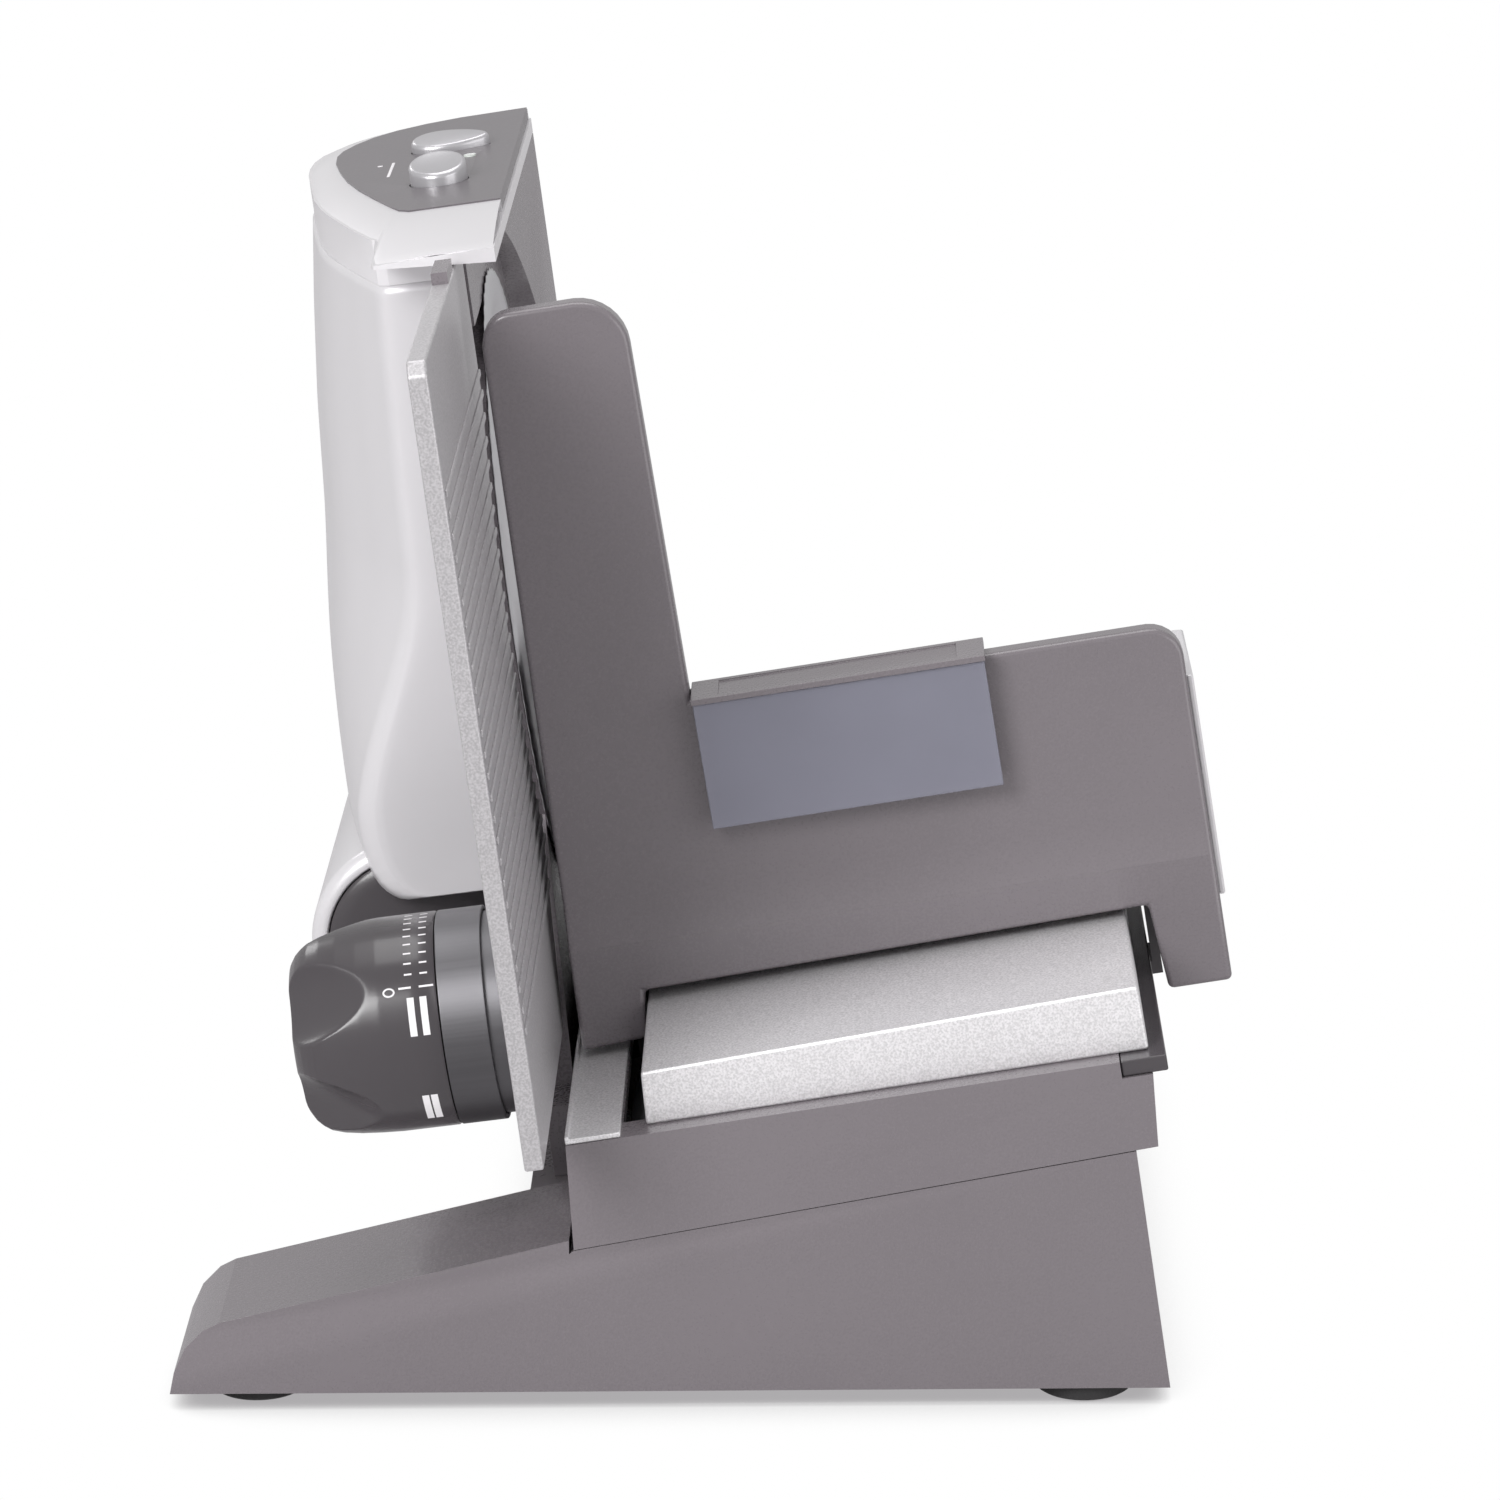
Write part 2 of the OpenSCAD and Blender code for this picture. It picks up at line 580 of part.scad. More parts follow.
module blade_lock() color(silver) in_blade() difference() {
    union() {
        rod_x(18, cut_p, cut_p + 2, blade_y, blade_q);
        rod_x(4, hub_p0 - 8, cut_p + 1, blade_y, blade_q);
    }
    box([cut_p + 1, blade_y - 10, blade_q - 1.4], [cut_p + 3, blade_y + 10, blade_q + 1.4]);
}

module blade_spindle() color(steel) in_blade() difference() {
    rod_x(spindle_r, wheel_p - 8, hub_p0, blade_y, blade_q);
    rod_x(4.02, hub_p0 - 9, hub_p0 + 1, blade_y, blade_q);
}

module spindle_bush() color("peru") in_blade() difference() {
    rod_x(bush_r, boss_p, hub_p0 - 0.5, blade_y, blade_q);
    rod_x(spindle_r + running, boss_p - 1, hub_p0 + 1, blade_y, blade_q);
}

module worm_wheel() color("ivory") in_blade() difference() {
    r = wheel_teeth * tooth_module / 2;
    step = 360 / wheel_teeth;
    half = wheel_face / 2;
    union() {
        along_x([for (i = [0:wheel_teeth - 1], k = [[-0.30, -1.5], [-0.14, 1], [0.14, 1], [0.30, -1.5]])
            let (a = (i + 0.5 + k[0]) * step, d = r + k[1])
            [blade_y + d * cos(a), blade_q + d * sin(a)]], wheel_p - half, wheel_p + half);
        rod_x(12, wheel_p + half - eps, boss_p - passing, blade_y, blade_q);
    }
    rod_x(spindle_r, wheel_p - 9, boss_p + 1, blade_y, blade_q);
    for (a = [0:60:300])
        rod_x(6, wheel_p - 9, boss_p + 1, blade_y + 23 * cos(a), blade_q + 23 * sin(a));
}

module worm() color(steel) in_blade() {
    length = 20;
    turns = length / pitch;
    translate([wheel_p, blade_y - length / 2, worm_q]) rotate([-90, 0, 0])
        difference() {
            linear_extrude(height = length, twist = 360 * turns, slices = 100, $fn = 12)
                rotate(-90 + 180 * turns) polygon([for (a = [-180:15:165]) let (t = abs(a),
                    r = t < 40 ? worm_r + 1 : t > 72 ? worm_r - 1.4 : worm_r + 1 - 2.4 * (t - 40) / 32)
                    [r * cos(a), r * sin(a)]]);
            translate([0, 0, -1]) cylinder(r = shaft_r + seat / 2, h = length + 2);
        }
}

module armature() color("#8a5a3a") in_blade() {
    rod_y(shaft_r, blade_y - 21, motor_y + motor_l + 11, wheel_p, worm_q);
    rod_y(12, motor_y + 8, motor_y + 30, wheel_p, worm_q);
    rod_y(10.4, motor_y + 4, motor_y + 34, wheel_p, worm_q);
}

module commutator() color("peru") in_blade() difference() {
    rod_y(7.5, motor_y + 35, motor_y + 43, wheel_p, worm_q);
    rod_y(shaft_r, motor_y + 34, motor_y + 44, wheel_p, worm_q);
    for (a = [0:30:330]) translate([wheel_p, 0, worm_q]) rotate([0, a, 0])
        box([7, motor_y + 34, -0.3], [8, motor_y + 44, 0.3]);
}

module cooling_fan() color(charcoal) in_blade() difference() {
    union() {
        rod_y(7, motor_y + motor_l + 3, motor_y + motor_l + 10, wheel_p, worm_q);
        rod_y(16, motor_y + motor_l + 3, motor_y + motor_l + 4.2, wheel_p, worm_q);
        for (a = [0:36:324]) translate([wheel_p, 0, worm_q]) rotate([0, a, 0])
            box([6, motor_y + motor_l + 4, -0.6], [15.5, motor_y + motor_l + 9, 0.6]);
    }
    rod_y(shaft_r, motor_y + motor_l + 2, motor_y + motor_l + 12, wheel_p, worm_q);
}

module motor_can() color(steel) in_blade() difference() {
    rod_y(motor_r, motor_y, motor_y + motor_l, wheel_p, worm_q);
    rod_y(motor_r - 1.6, motor_y + 2, motor_y + motor_l - 3, wheel_p, worm_q);
    rod_y(shaft_r + 1, motor_y - 1, motor_y + 3, wheel_p, worm_q);
    rod_y(bearing_r, motor_y + motor_l - 4, motor_y + motor_l + 1, wheel_p, worm_q);
}

module stator() color("#77716f") in_blade() difference() {
    rod_y(motor_r - 1.6, motor_y + 7, motor_y + 31, wheel_p, worm_q);
    rod_y(12.6, motor_y + 6, motor_y + 32, wheel_p, worm_q);
    box([wheel_p - 3, motor_y + 6, worm_q - 30], [wheel_p + 3, motor_y + 32, worm_q + 30]);
}

module brushes() color("#2b2b2b") in_blade() for (s = [-1, 1])
    translate([wheel_p, motor_y + 36, worm_q])
        box([s > 0 ? 7.8 : -motor_r + 1.8, 0, -2.5], [s > 0 ? motor_r - 1.8 : -7.8, 6, 2.5]);

module motor_bearings() color("peru") in_blade() for (y = [[blade_y - 20, 5], [blade_y + 13, 6],
    [motor_y + motor_l - 4, 4]]) difference() {
        rod_y(bearing_r, y[0], y[0] + y[1], wheel_p, worm_q);
        rod_y(shaft_r + running, y[0] - 1, y[0] + y[1] + 1, wheel_p, worm_q);
    }

module gear_frame() color("#57524f") in_blade() difference() {
    union() {
        for (y = [[blade_y - 20, 5], [blade_y + 13, 6]])
            box([wheel_p - 10, y[0], worm_q - 12], [plate_p0, y[0] + y[1], worm_q + 6.6]);
        box([plate_p0 - 5, blade_y - 20, worm_q - 12], [plate_p0, motor_y + 40, worm_q - 2]);
        box([wheel_p - 16, motor_y + 12, worm_q - motor_r - 0.4], [plate_p0, motor_y + 36, worm_q - 10]);
    }
    rod_y(bearing_r, 0, motor_y, wheel_p, worm_q);
    rod_y(motor_r, motor_y, motor_y + 50, wheel_p, worm_q);
}

// Blade plate with its guard, seen from the right
module blade_plate() color(plastic) in_blade() difference() {
    union() {
        rod_x(guard_r, plate_p0, plate_p1, blade_y, blade_q);
        along_x([[near_y - 59.5, 0], [plate_far, 0], [plate_far, near_q + 78], [near_y + 20.5, near_q + 78],
            [near_y - 1, near_q + 75], [near_y - 38.5, near_q], [near_y - 59.5, near_q]], plate_p0, plate_p1);
        along_x([[blade_y, near_q + 28], [plate_far, near_q + 28], [plate_far, plate_q],
            [near_y, plate_q],
            [near_y, plate_q - 25], [blade_y, plate_q - 25]], plate_p0, plate_p1);
        rod_x(boss_r, boss_p + 0.6, plate_p0 + eps, blade_y, blade_q);
        difference() {
            translate([0, 0, plate_q - 59]) linear_extrude(59) polygon([[plate_p1 - 1, blade_y],
                [plate_p1, blade_y], [visor_p, plate_far], [plate_p1 - 1, plate_far]]);
            rod_x(bowl_r, -20, 20, blade_y, blade_q);
        }
    }
    rod_x(hub_r + 3, plate_p1 - 4.2, 20, blade_y, blade_q);
    rod_x(bush_r, -60, 20, blade_y, blade_q);
}

module front_bracket() color("#57524f") in_blade() difference() {
    union() {
        box([arm_p0, knob_y + 10, knob_q - 31], [arm_p1, near_y + 10.5, knob_q - 19.5]);
        box([arm_p0, knob_y + 32, knob_q - 31], [arm_p1, knob_y + 72, knob_q + 5]);
        box([arm_p1 - eps, near_y - 2.5, knob_q - 31], [plate_p0, near_y + 10.5, knob_q - 19.5]);
    }
    rod_x(knob_r, -90, 20, knob_y, knob_q);
    for (r = rod_places) rod_x(fence_rod_r + running, -60, 20, r[0], r[1]);
}

// Stop plate that sets the slice
module fence_plate() color(silver) in_blade() difference() {
    along_x(concat([[-fence_near, fence_low], [-fence_near, fence_high - 4], [3 - fence_near, fence_high],
        [fence_far, fence_high]], arc([blade_y, blade_q], recess_r, 135, 219.5, 24),
        [[fence_far - 38, fence_low]]), fence_p0, fence_p1);
    rod_x(pocket_r, fence_p0 - 1, fence_p0 + pocket_t, knob_y, knob_q);
}

module fence_carrier() color(steel) in_blade() difference() {
    union() {
        rod_x(nut_r, fence_p0 - nut_l, fence_p0 + pocket_t, knob_y, knob_q);
        rod_x(sleeve_r, fence_p0 + pocket_t - 1.4, fence_p0 + pocket_t, knob_y, knob_q);
        difference() {
            rod_x(sleeve_r, collar_p1 - sleeve_lap, fence_p0 + pocket_t, knob_y, knob_q);
            rod_x(sleeve_r - 1.2, collar_p1 - sleeve_lap - 1, fence_p0 + pocket_t - 1.4 + eps, knob_y, knob_q);
        }
    }
    rod_x(screw_r + running, fence_p0 - nut_l - 1, fence_p0 + pocket_t - 0.8, knob_y, knob_q);
}

module fence_rods() color(steel) in_blade() for (r = rod_places)
    rod_x(fence_rod_r, arm_p0 - 13, fence_p0, r[0], r[1]);

module fence_clip() color(charcoal) in_blade() {
    box([fence_p0 + 0.4, fence_far - 56, fence_high], [fence_p1 - 0.4, fence_far - 35, fence_high + 3.5]);
}

// Knob that moves the stop plate
// Side of the knob: depth from its left end, and how much less its radius is there
knob_side = [[0, 12.3], [1.2, 8.5], [2.6, 6.1], [6.4, 2.9], [15, 0.9], [27, 0]];
scoop_first = 36;
scoop_slope = 30.4;
module knob() color(charcoal) in_blade() difference() {
    translate([knob_p0, knob_y, knob_q]) rotate([0, 90, 0]) rotate_extrude()
        polygon(concat([[0, 0]], [for (k = knob_side) [knob_r - k[1], k[0]]], [[knob_r, knob_l], [0, knob_l]]));
    rod_x(journal_r + running, knob_p1 - journal_l - 0.6, knob_p1 + 1, knob_y, knob_q);
    rod_x(journal_r - 5, knob_p0 + 10, knob_p1, knob_y, knob_q);
    rod_x(screw_r, knob_p0 + 3, knob_p1, knob_y, knob_q);
    for (i = [0:scoops - 1])
        translate([knob_p0, knob_y, knob_q]) rotate([180 - scoop_first - i * 360 / scoops, 0, 0])
            translate([0, knob_r - 13.8 + scoop_r / cos(scoop_slope), 0]) rotate([0, 90, scoop_slope])
                translate([0, 0, -30]) cylinder(r = scoop_r, h = 90);
}

module knob_spindle() color(steel) in_blade()
    rod_x(screw_r, knob_p0 + 3, fence_p0 + pocket_t - 0.8 - retract - passing, knob_y, knob_q);

module knob_collar() color(silver) in_blade() difference() {
    union() {
        rod_x(knob_r, collar_p0, collar_p1, knob_y, knob_q);
        rod_x(journal_r, collar_p0 - journal_l, collar_p0 + 2, knob_y, knob_q);
    }
    rod_x(knob_r - collar_t, collar_p0 + 2, collar_p1 + 1, knob_y, knob_q);
    rod_x(journal_r - 4, collar_p0 - journal_l - 1, collar_p1 + 1, knob_y, knob_q);
}

// Motor housing
// Front view of the housing: share of its bulge, and share of its height from the bottom
front = [[0.626, 0.002], [0.808, 0.011], [0.921, 0.032], [0.98, 0.064], [1, 0.114], [0.994, 0.236],
    [0.952, 0.386], [0.917, 0.536], [0.874, 0.695], [0.818, 0.841], [0.764, 0.959], [0.752, 0.986]];
function shell_front(e) = concat([[0, pod_q + e]], [for (k = front)
    [plate_p0 - bulge * k[0] + e, pod_q + (plate_q - pod_q) * k[1] + e * max(0, 1 - k[1] / 0.064)]],
    [[0, pod_q + (plate_q - pod_q) * 0.986]]);
// Side view of the housing, its bottom climbing towards the near end
function shell_side(e) = [[housing_near - 1, pod_q + 21 + e], [housing_near + 24, pod_q + 14 + e],
    [housing_near + 64, pod_q + 7.5 + e], [housing_near + 129, pod_q + e], [plate_far + 1, pod_q + e],
    [plate_far + 1, plate_q - 3], [housing_near - 1, plate_q - 3]];
// Room inside a plan, open towards the blade plate
module room(b, p, q, h) translate([0, 0, q]) linear_extrude(h) polygon(concat(housing_plan(b, housing_wall),
    [[p, plate_far - housing_wall], [p, housing_near + housing_wall]]));

module motor_shell() color(pearl) in_blade() difference() {
    intersection() {
        translate([0, 0, pod_q - 15]) linear_extrude(hood_low - pod_q + 15) polygon(housing_plan(bulge));
        along_y(shell_front(0), 0, plate_far + 1);
        along_x(shell_side(0), plate_p0 - bulge - 1, 1);
    }
    intersection() {
        room(bulge, 0, pod_q - 15, plate_q);
        along_y(shell_front(housing_wall), 0, plate_far + 1);
        along_x(shell_side(housing_wall), plate_p0 - bulge - 1, 1);
    }
    rod_y(pod_r + seat, pod_y0 - 5, pod_y1 + 1, pod_p, pod_q);
}

module motor_pod() color(pearl) in_blade() difference() {
    rod_y(pod_r, pod_y0, pod_y1, pod_p, pod_q);
    rod_y(pod_r - housing_wall, pod_y0 - 1, pod_y1 - housing_wall, pod_p, pod_q);
    box([plate_p0, pod_y0 - 1, pod_q - 50], [0, pod_y1 + 1, pod_q + 50]);
}

module pod_cap() color(charcoal) in_blade() {
    rod_y(pod_r - 1, pod_y0 - 3, pod_y0, pod_p, pod_q);
    difference() {
        rod_y(pod_r - housing_wall - 0.1, pod_y0 - eps, pod_y0 + 6, pod_p, pod_q);
        rod_y(pod_r - housing_wall - 2, pod_y0, pod_y0 + 7, pod_p, pod_q);
    }
}

module pod_bracket() color("#57524f") in_blade() difference() {
    box([pod_p + 20, pod_y0 + 20, pod_q - 12], [plate_p0, pod_y1 - 30, pod_q - 0.4]);
    rod_y(pod_r, pod_y0, pod_y1, pod_p, pod_q);
}

module transformer() color("#8a5a3a") in_blade() {
    box([pod_p - 18, pod_y0 + 40, pod_q - 15], [pod_p + 18, pod_y0 + 86, pod_q + 15]);
    box([pod_p - 13, pod_y0 + 32, pod_q - 11], [pod_p + 13, pod_y0 + 94, pod_q + 11]);
    box([pod_p - 6.5, pod_y0 + 46, pod_q - pod_r + housing_wall + 1], [pod_p + 6.5, pod_y0 + 80, pod_q]);
}

module hood() color(pearl) in_blade() difference() {
    union() {
        translate([0, 0, hood_low + 0.1]) linear_extrude(hood_q - hood_low - 0.1)
            polygon(housing_plan(hood_bulge));
        box([plate_p0 - eps, near_y, plate_q + passing], [visor_p, plate_far, hood_q]);
        translate([0, 0, plate_q + passing]) linear_extrude(hood_q - plate_q - passing)
            polygon([[plate_p0 - 17.8, visor_near + 14], [plate_p0 - 17, visor_near + 11.8],
                [visor_p, visor_near], [visor_p, blade_y], [plate_p0 - 17.8, blade_y]]);
    }
    room(hood_bulge, plate_p0 + eps, hood_low, hood_q - 3 - hood_low);
    for (y = [round_y, long_y]) rod_z(round_hole, hood_low, hood_q + 1, stem_p, y);
}

// Outline of the control panel: place across, and distance from the plate's far edge
panel = [[-17, 175.4], [-20.4, 171.8], [-23.4, 164], [-30, 144.5], [-35.9, 125.7], [-41.2, 105.5],
    [-45, 85.5], [-47.6, 68], [-48.2, 55], [-47, 45.5], [-43.6, 35], [-38.5, 25], [-31.4, 16.4],
    [-22, 10], [-11, 5.6]];
module control_panel() color(plastic) in_blade() difference() {
    translate([0, 0, hood_q]) linear_extrude(panel_t) polygon(concat([[visor_p - 0.8, plate_far - 173.6]],
        [for (k = panel) [k[0], plate_far - k[1]]], [[visor_p - 0.8, plate_far - 2]]));
    rod_z(round_button_r + 0.35, hood_q - 1, hood_q + 9, button_p, round_y);
    translate([button_p, long_y, hood_q - 1]) linear_extrude(9) polygon(leaf(0.35));
    rod_z(2, hood_q + 1.5, hood_q + 9, lens_p, lens_y);
}

module indicator_lens() color("#8fd08a") in_blade()
    rod_z(2, hood_q + 1.5, hood_q + panel_t + 0.5, lens_p, lens_y);

module stem(y) {
    rod_z(stem_r, stem_q, cap_q + eps, stem_p, y);
    rod_z(stem_r + 1.2, hood_q - 5.4, hood_q - 3 - passing, stem_p, y);
}

// What slopes a button's top towards the operator, from height q over the button's middle
module slope(y, q, angle) translate([button_p - 30, y, q]) rotate([angle, 0, 0]) box([0, -30, 0], [60, 30, 20]);

module round_button() color(steel) in_blade() {
    stem(round_y);
    difference() {
        rod_z(round_button_r, cap_q, hood_q + 14, button_p, round_y);
        slope(round_y, hood_q + panel_t + 6.2, 15);
    }
}

module long_button() color(steel) in_blade() {
    stem(long_y);
    difference() {
        translate([button_p, long_y, cap_q]) linear_extrude(12) polygon(leaf(0));
        slope(long_y, hood_q + panel_t + 3.8, 13);
    }
}

module spring(y) translate([stem_p, y, stem_q - 7])
    linear_extrude(height = 7, twist = -360 * 3.5, slices = 56, $fn = 6)
        translate([1.9, 0]) circle(r = 0.55, $fn = 8);
module round_spring() color(steel) in_blade() spring(round_y);
module long_spring() color(steel) in_blade() spring(long_y);

module switch_bodies() color("#35506e") in_blade() for (y = [round_y, long_y]) {
    box([stem_p - 6, y - 6, stem_q - 17], [plate_p0, y + 6, stem_q - 9]);
    rod_z(3, stem_q - 9 - eps, stem_q - 7, stem_p, y);
}

module board() color("#3f6b4a") in_blade() {
    box([stem_p - 20.4, round_y - 12, stem_q - 18.6], [plate_p0, long_y + 14, stem_q - 17]);
    box([stem_p - 18.4, round_y + 24, stem_q - 17 - eps], [stem_p - 6.4, long_y - 16, stem_q - 11]);
    rod_z(5, stem_q - 17 - eps, stem_q - 5, stem_p - 13.4, round_y + 12);
}

module switches() {
    switch_bodies();
    board();
}

base_housing();
base_floor();
feet();
base_screws();
cord_inlet();
terminal_block();
rail_block();
guide_rod();
tray();
deck_cover();
right_rail();
carriage_wall();
carriage_frame();
carriage_table();
wall_liner();
side_panel();
guide_shoe();
slide_hooks();
glide_pads();
holder_plate();
holder_bridge();
pusher();
pusher_pins();
blade();
blade_hub();
blade_lock();
blade_spindle();
spindle_bush();
worm_wheel();
worm();
armature();
commutator();
cooling_fan();
motor_can();
stator();
brushes();
motor_bearings();
gear_frame();
blade_plate();
front_bracket();
fence_plate();
fence_carrier();
fence_rods();
fence_clip();
knob();
knob_spindle();
knob_collar();
motor_shell();
motor_pod();
pod_cap();
pod_bracket();
transformer();
hood();
control_panel();
indicator_lens();
round_button();
long_button();
round_spring();
long_spring();
switches();
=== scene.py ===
"""Looks of a food slicer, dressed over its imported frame.

Every piece is placed in the row frame, in metres. Sizes inside the classes are in millimetres, in one of
two tilted frames: the table frame (across, away, up from the rail block's corner) and the blade frame.
"""

import json
import logging
import math
from collections.abc import Callable
from dataclasses import dataclass
from enum import Enum

import bmesh
import bpy
import numpy as np
from mathutils import Matrix, Vector

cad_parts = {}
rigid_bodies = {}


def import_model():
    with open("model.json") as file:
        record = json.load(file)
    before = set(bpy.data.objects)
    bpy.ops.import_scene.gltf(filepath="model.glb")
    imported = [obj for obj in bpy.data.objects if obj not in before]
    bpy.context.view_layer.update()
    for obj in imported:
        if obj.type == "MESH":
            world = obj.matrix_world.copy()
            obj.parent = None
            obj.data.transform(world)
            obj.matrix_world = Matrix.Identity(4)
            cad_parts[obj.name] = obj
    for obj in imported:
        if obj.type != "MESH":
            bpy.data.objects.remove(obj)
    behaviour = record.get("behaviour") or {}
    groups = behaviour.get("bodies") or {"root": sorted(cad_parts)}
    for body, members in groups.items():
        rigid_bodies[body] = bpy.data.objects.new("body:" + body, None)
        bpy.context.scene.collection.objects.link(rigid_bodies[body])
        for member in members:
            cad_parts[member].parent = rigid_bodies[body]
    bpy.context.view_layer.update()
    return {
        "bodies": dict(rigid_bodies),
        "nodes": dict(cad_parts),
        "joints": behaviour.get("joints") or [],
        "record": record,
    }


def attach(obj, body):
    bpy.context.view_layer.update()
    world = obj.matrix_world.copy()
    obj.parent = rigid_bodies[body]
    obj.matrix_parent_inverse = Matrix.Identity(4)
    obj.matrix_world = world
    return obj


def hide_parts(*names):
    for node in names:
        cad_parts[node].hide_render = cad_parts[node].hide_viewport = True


log = logging.getLogger("slicer")

MIDDLE_X = 10.633
MIDDLE_Y = 142.5
PIVOT_X = -27.5
PIVOT_Z = 48.5


class Axis(Enum):
    """Direction of a brushed or machined grain in a tilted frame."""

    ACROSS = 0
    AWAY = 1


@dataclass(frozen=True)
class Tilted:
    """A frame tilted about the away axis: across, away and up, in millimetres."""

    degrees: float

    def place(self, across: np.ndarray, away: np.ndarray, up: np.ndarray) -> np.ndarray:
        """Puts points of this frame into the row frame.

        Args:
            across: Distances across, array or number.
            away: Distances away from the base's front edge.
            up: Distances up.

        Returns:
            Array of points in metres, its last axis x, y and z.
        """
        a = math.radians(self.degrees)
        across, away, up = np.broadcast_arrays(np.asarray(across, float), away, up)
        x = PIVOT_X + across * math.cos(a) - up * math.sin(a) - MIDDLE_X
        z = PIVOT_Z + across * math.sin(a) + up * math.cos(a)
        return np.stack([x, away - MIDDLE_Y, z], axis=-1) / 1000.0

    def spot(self, across: float, away: float, up: float) -> tuple[float, float, float]:
        """One point of this frame in the row frame, in metres."""
        return tuple(float(v) for v in self.place(across, away, up))

    def read(self, corner: Vector) -> tuple[float, float, float]:
        """Across, away and up of a point of the row frame, in millimetres."""
        a = math.radians(self.degrees)
        x = corner.x * 1000.0 + MIDDLE_X - PIVOT_X
        z = corner.z * 1000.0 - PIVOT_Z
        return (x * math.cos(a) + z * math.sin(a), corner.y * 1000.0 + MIDDLE_Y,
                z * math.cos(a) - x * math.sin(a))


TABLE = Tilted(8.6)
BLADE = Tilted(6.8)


class Signal:
    """One socket of a material, with operators that add Math nodes."""

    def __init__(self, graph: "Graph", socket: bpy.types.NodeSocket) -> None:
        """Keeps the graph and the socket."""
        self.graph = graph
        self.socket = socket

    def _with(self, operation: str, first: object, second: object) -> "Signal":
        """A Math node of that operation on two values or signals."""
        return self.graph.node("ShaderNodeMath", {"operation": operation}, {0: first, 1: second})

    def __add__(self, other: object) -> "Signal":
        """Sum."""
        return self._with("ADD", self, other)

    __radd__ = __add__

    def __sub__(self, other: object) -> "Signal":
        """Difference."""
        return self._with("SUBTRACT", self, other)

    def __mul__(self, other: object) -> "Signal":
        """Product."""
        return self._with("MULTIPLY", self, other)

    def clamp(self) -> "Signal":
        """The signal held between 0 and 1."""
        return self.graph.node("ShaderNodeClamp", {}, {0: self})

    def sine(self) -> "Signal":
        """Sine of the signal, in radians."""
        return self._with("SINE", self, 0.0)


class Graph:
    """The node tree of one material."""

    def __init__(self, name: str) -> None:
        """Starts a material with one Principled shader.

        Args:
            name: The material's name.
        """
        self.material = bpy.data.materials.new(name)
        self.material.use_nodes = True
        self.tree = self.material.node_tree
        self.shader = self.tree.nodes["Principled BSDF"]

    def node(self, kind: str, settings: dict[str, object], values: dict[object, object],
             output: object = 0) -> Signal:
        """Adds one node.

        Args:
            kind: The node's type.
            settings: Its own settings.
            values: Its sockets by name or number, each a value or a signal.
            output: The output that is wanted, by name or number.

        Returns:
            That output as a signal.
        """
        made = self.tree.nodes.new(kind)
        for key, value in settings.items():
            setattr(made, key, value)
        for key, value in values.items():
            self.feed(made.inputs[key], value)
        return Signal(self, made.outputs[output])

    def feed(self, socket: bpy.types.NodeSocket, value: object) -> None:
        """Gives a socket a value, or links a signal to it."""
        if isinstance(value, Signal):
            self.tree.links.new(value.socket, socket)
        else:
            socket.default_value = value

    def set(self, **values: object) -> None:
        """Gives the shader's sockets their values; an underscore in a name stands for a space."""
        for key, value in values.items():
            self.feed(self.shader.inputs[key.replace("_", " ")], value)

    def place(self, scale: tuple[float, float, float] = (1.0, 1.0, 1.0), frame: Tilted | None = None,
              centre: tuple[float, float, float] = (0.0, 0.0, 0.0)) -> Signal:
        """Object coordinates, moved to a centre, turned into a tilted frame and scaled.

        Args:
            scale: Factor of each axis.
            frame: The tilted frame whose axes the pattern follows.
            centre: The row frame's point that becomes the origin.

        Returns:
            The coordinates.
        """
        raw = self.node("ShaderNodeTexCoord", {}, {}, "Object")
        moved = self.node("ShaderNodeVectorMath", {"operation": "SUBTRACT"}, {0: raw, 1: centre})
        turn = math.radians(frame.degrees) if frame else 0.0
        turned = self.node("ShaderNodeMapping", {}, {"Vector": moved, "Rotation": (0.0, turn, 0.0)})
        return self.node("ShaderNodeVectorMath", {"operation": "MULTIPLY"}, {0: turned, 1: scale})

    def noise(self, where: Signal, scale: float, detail: float = 3.0, rough: float = 0.55) -> Signal:
        """Fractal noise from 0 to 1 at that scale."""
        return self.node("ShaderNodeTexNoise", {}, {"Vector": where, "Scale": scale, "Detail": detail,
                                                    "Roughness": rough})

    def blend(self, factor: object, first: tuple, second: tuple) -> Signal:
        """A colour between two, by a factor from 0 to 1."""
        mix = self.tree.nodes.new("ShaderNodeMix")
        mix.data_type = "RGBA"
        self.feed(mix.inputs[0], factor)
        self.feed(mix.inputs[6], (*first, 1.0) if isinstance(first, tuple) else first)
        self.feed(mix.inputs[7], (*second, 1.0) if isinstance(second, tuple) else second)
        return Signal(self, mix.outputs[2])

    def bump(self, height: Signal, distance: float, strength: float = 1.0) -> Signal:
        """A normal from a height signal, its distance in metres."""
        return self.node("ShaderNodeBump", {}, {"Height": height, "Distance": distance, "Strength": strength})


def shade(colour: tuple[float, float, float], factor: float) -> tuple[float, float, float]:
    """A colour made lighter or darker by a factor."""
    return tuple(min(1.0, c * factor) for c in colour)


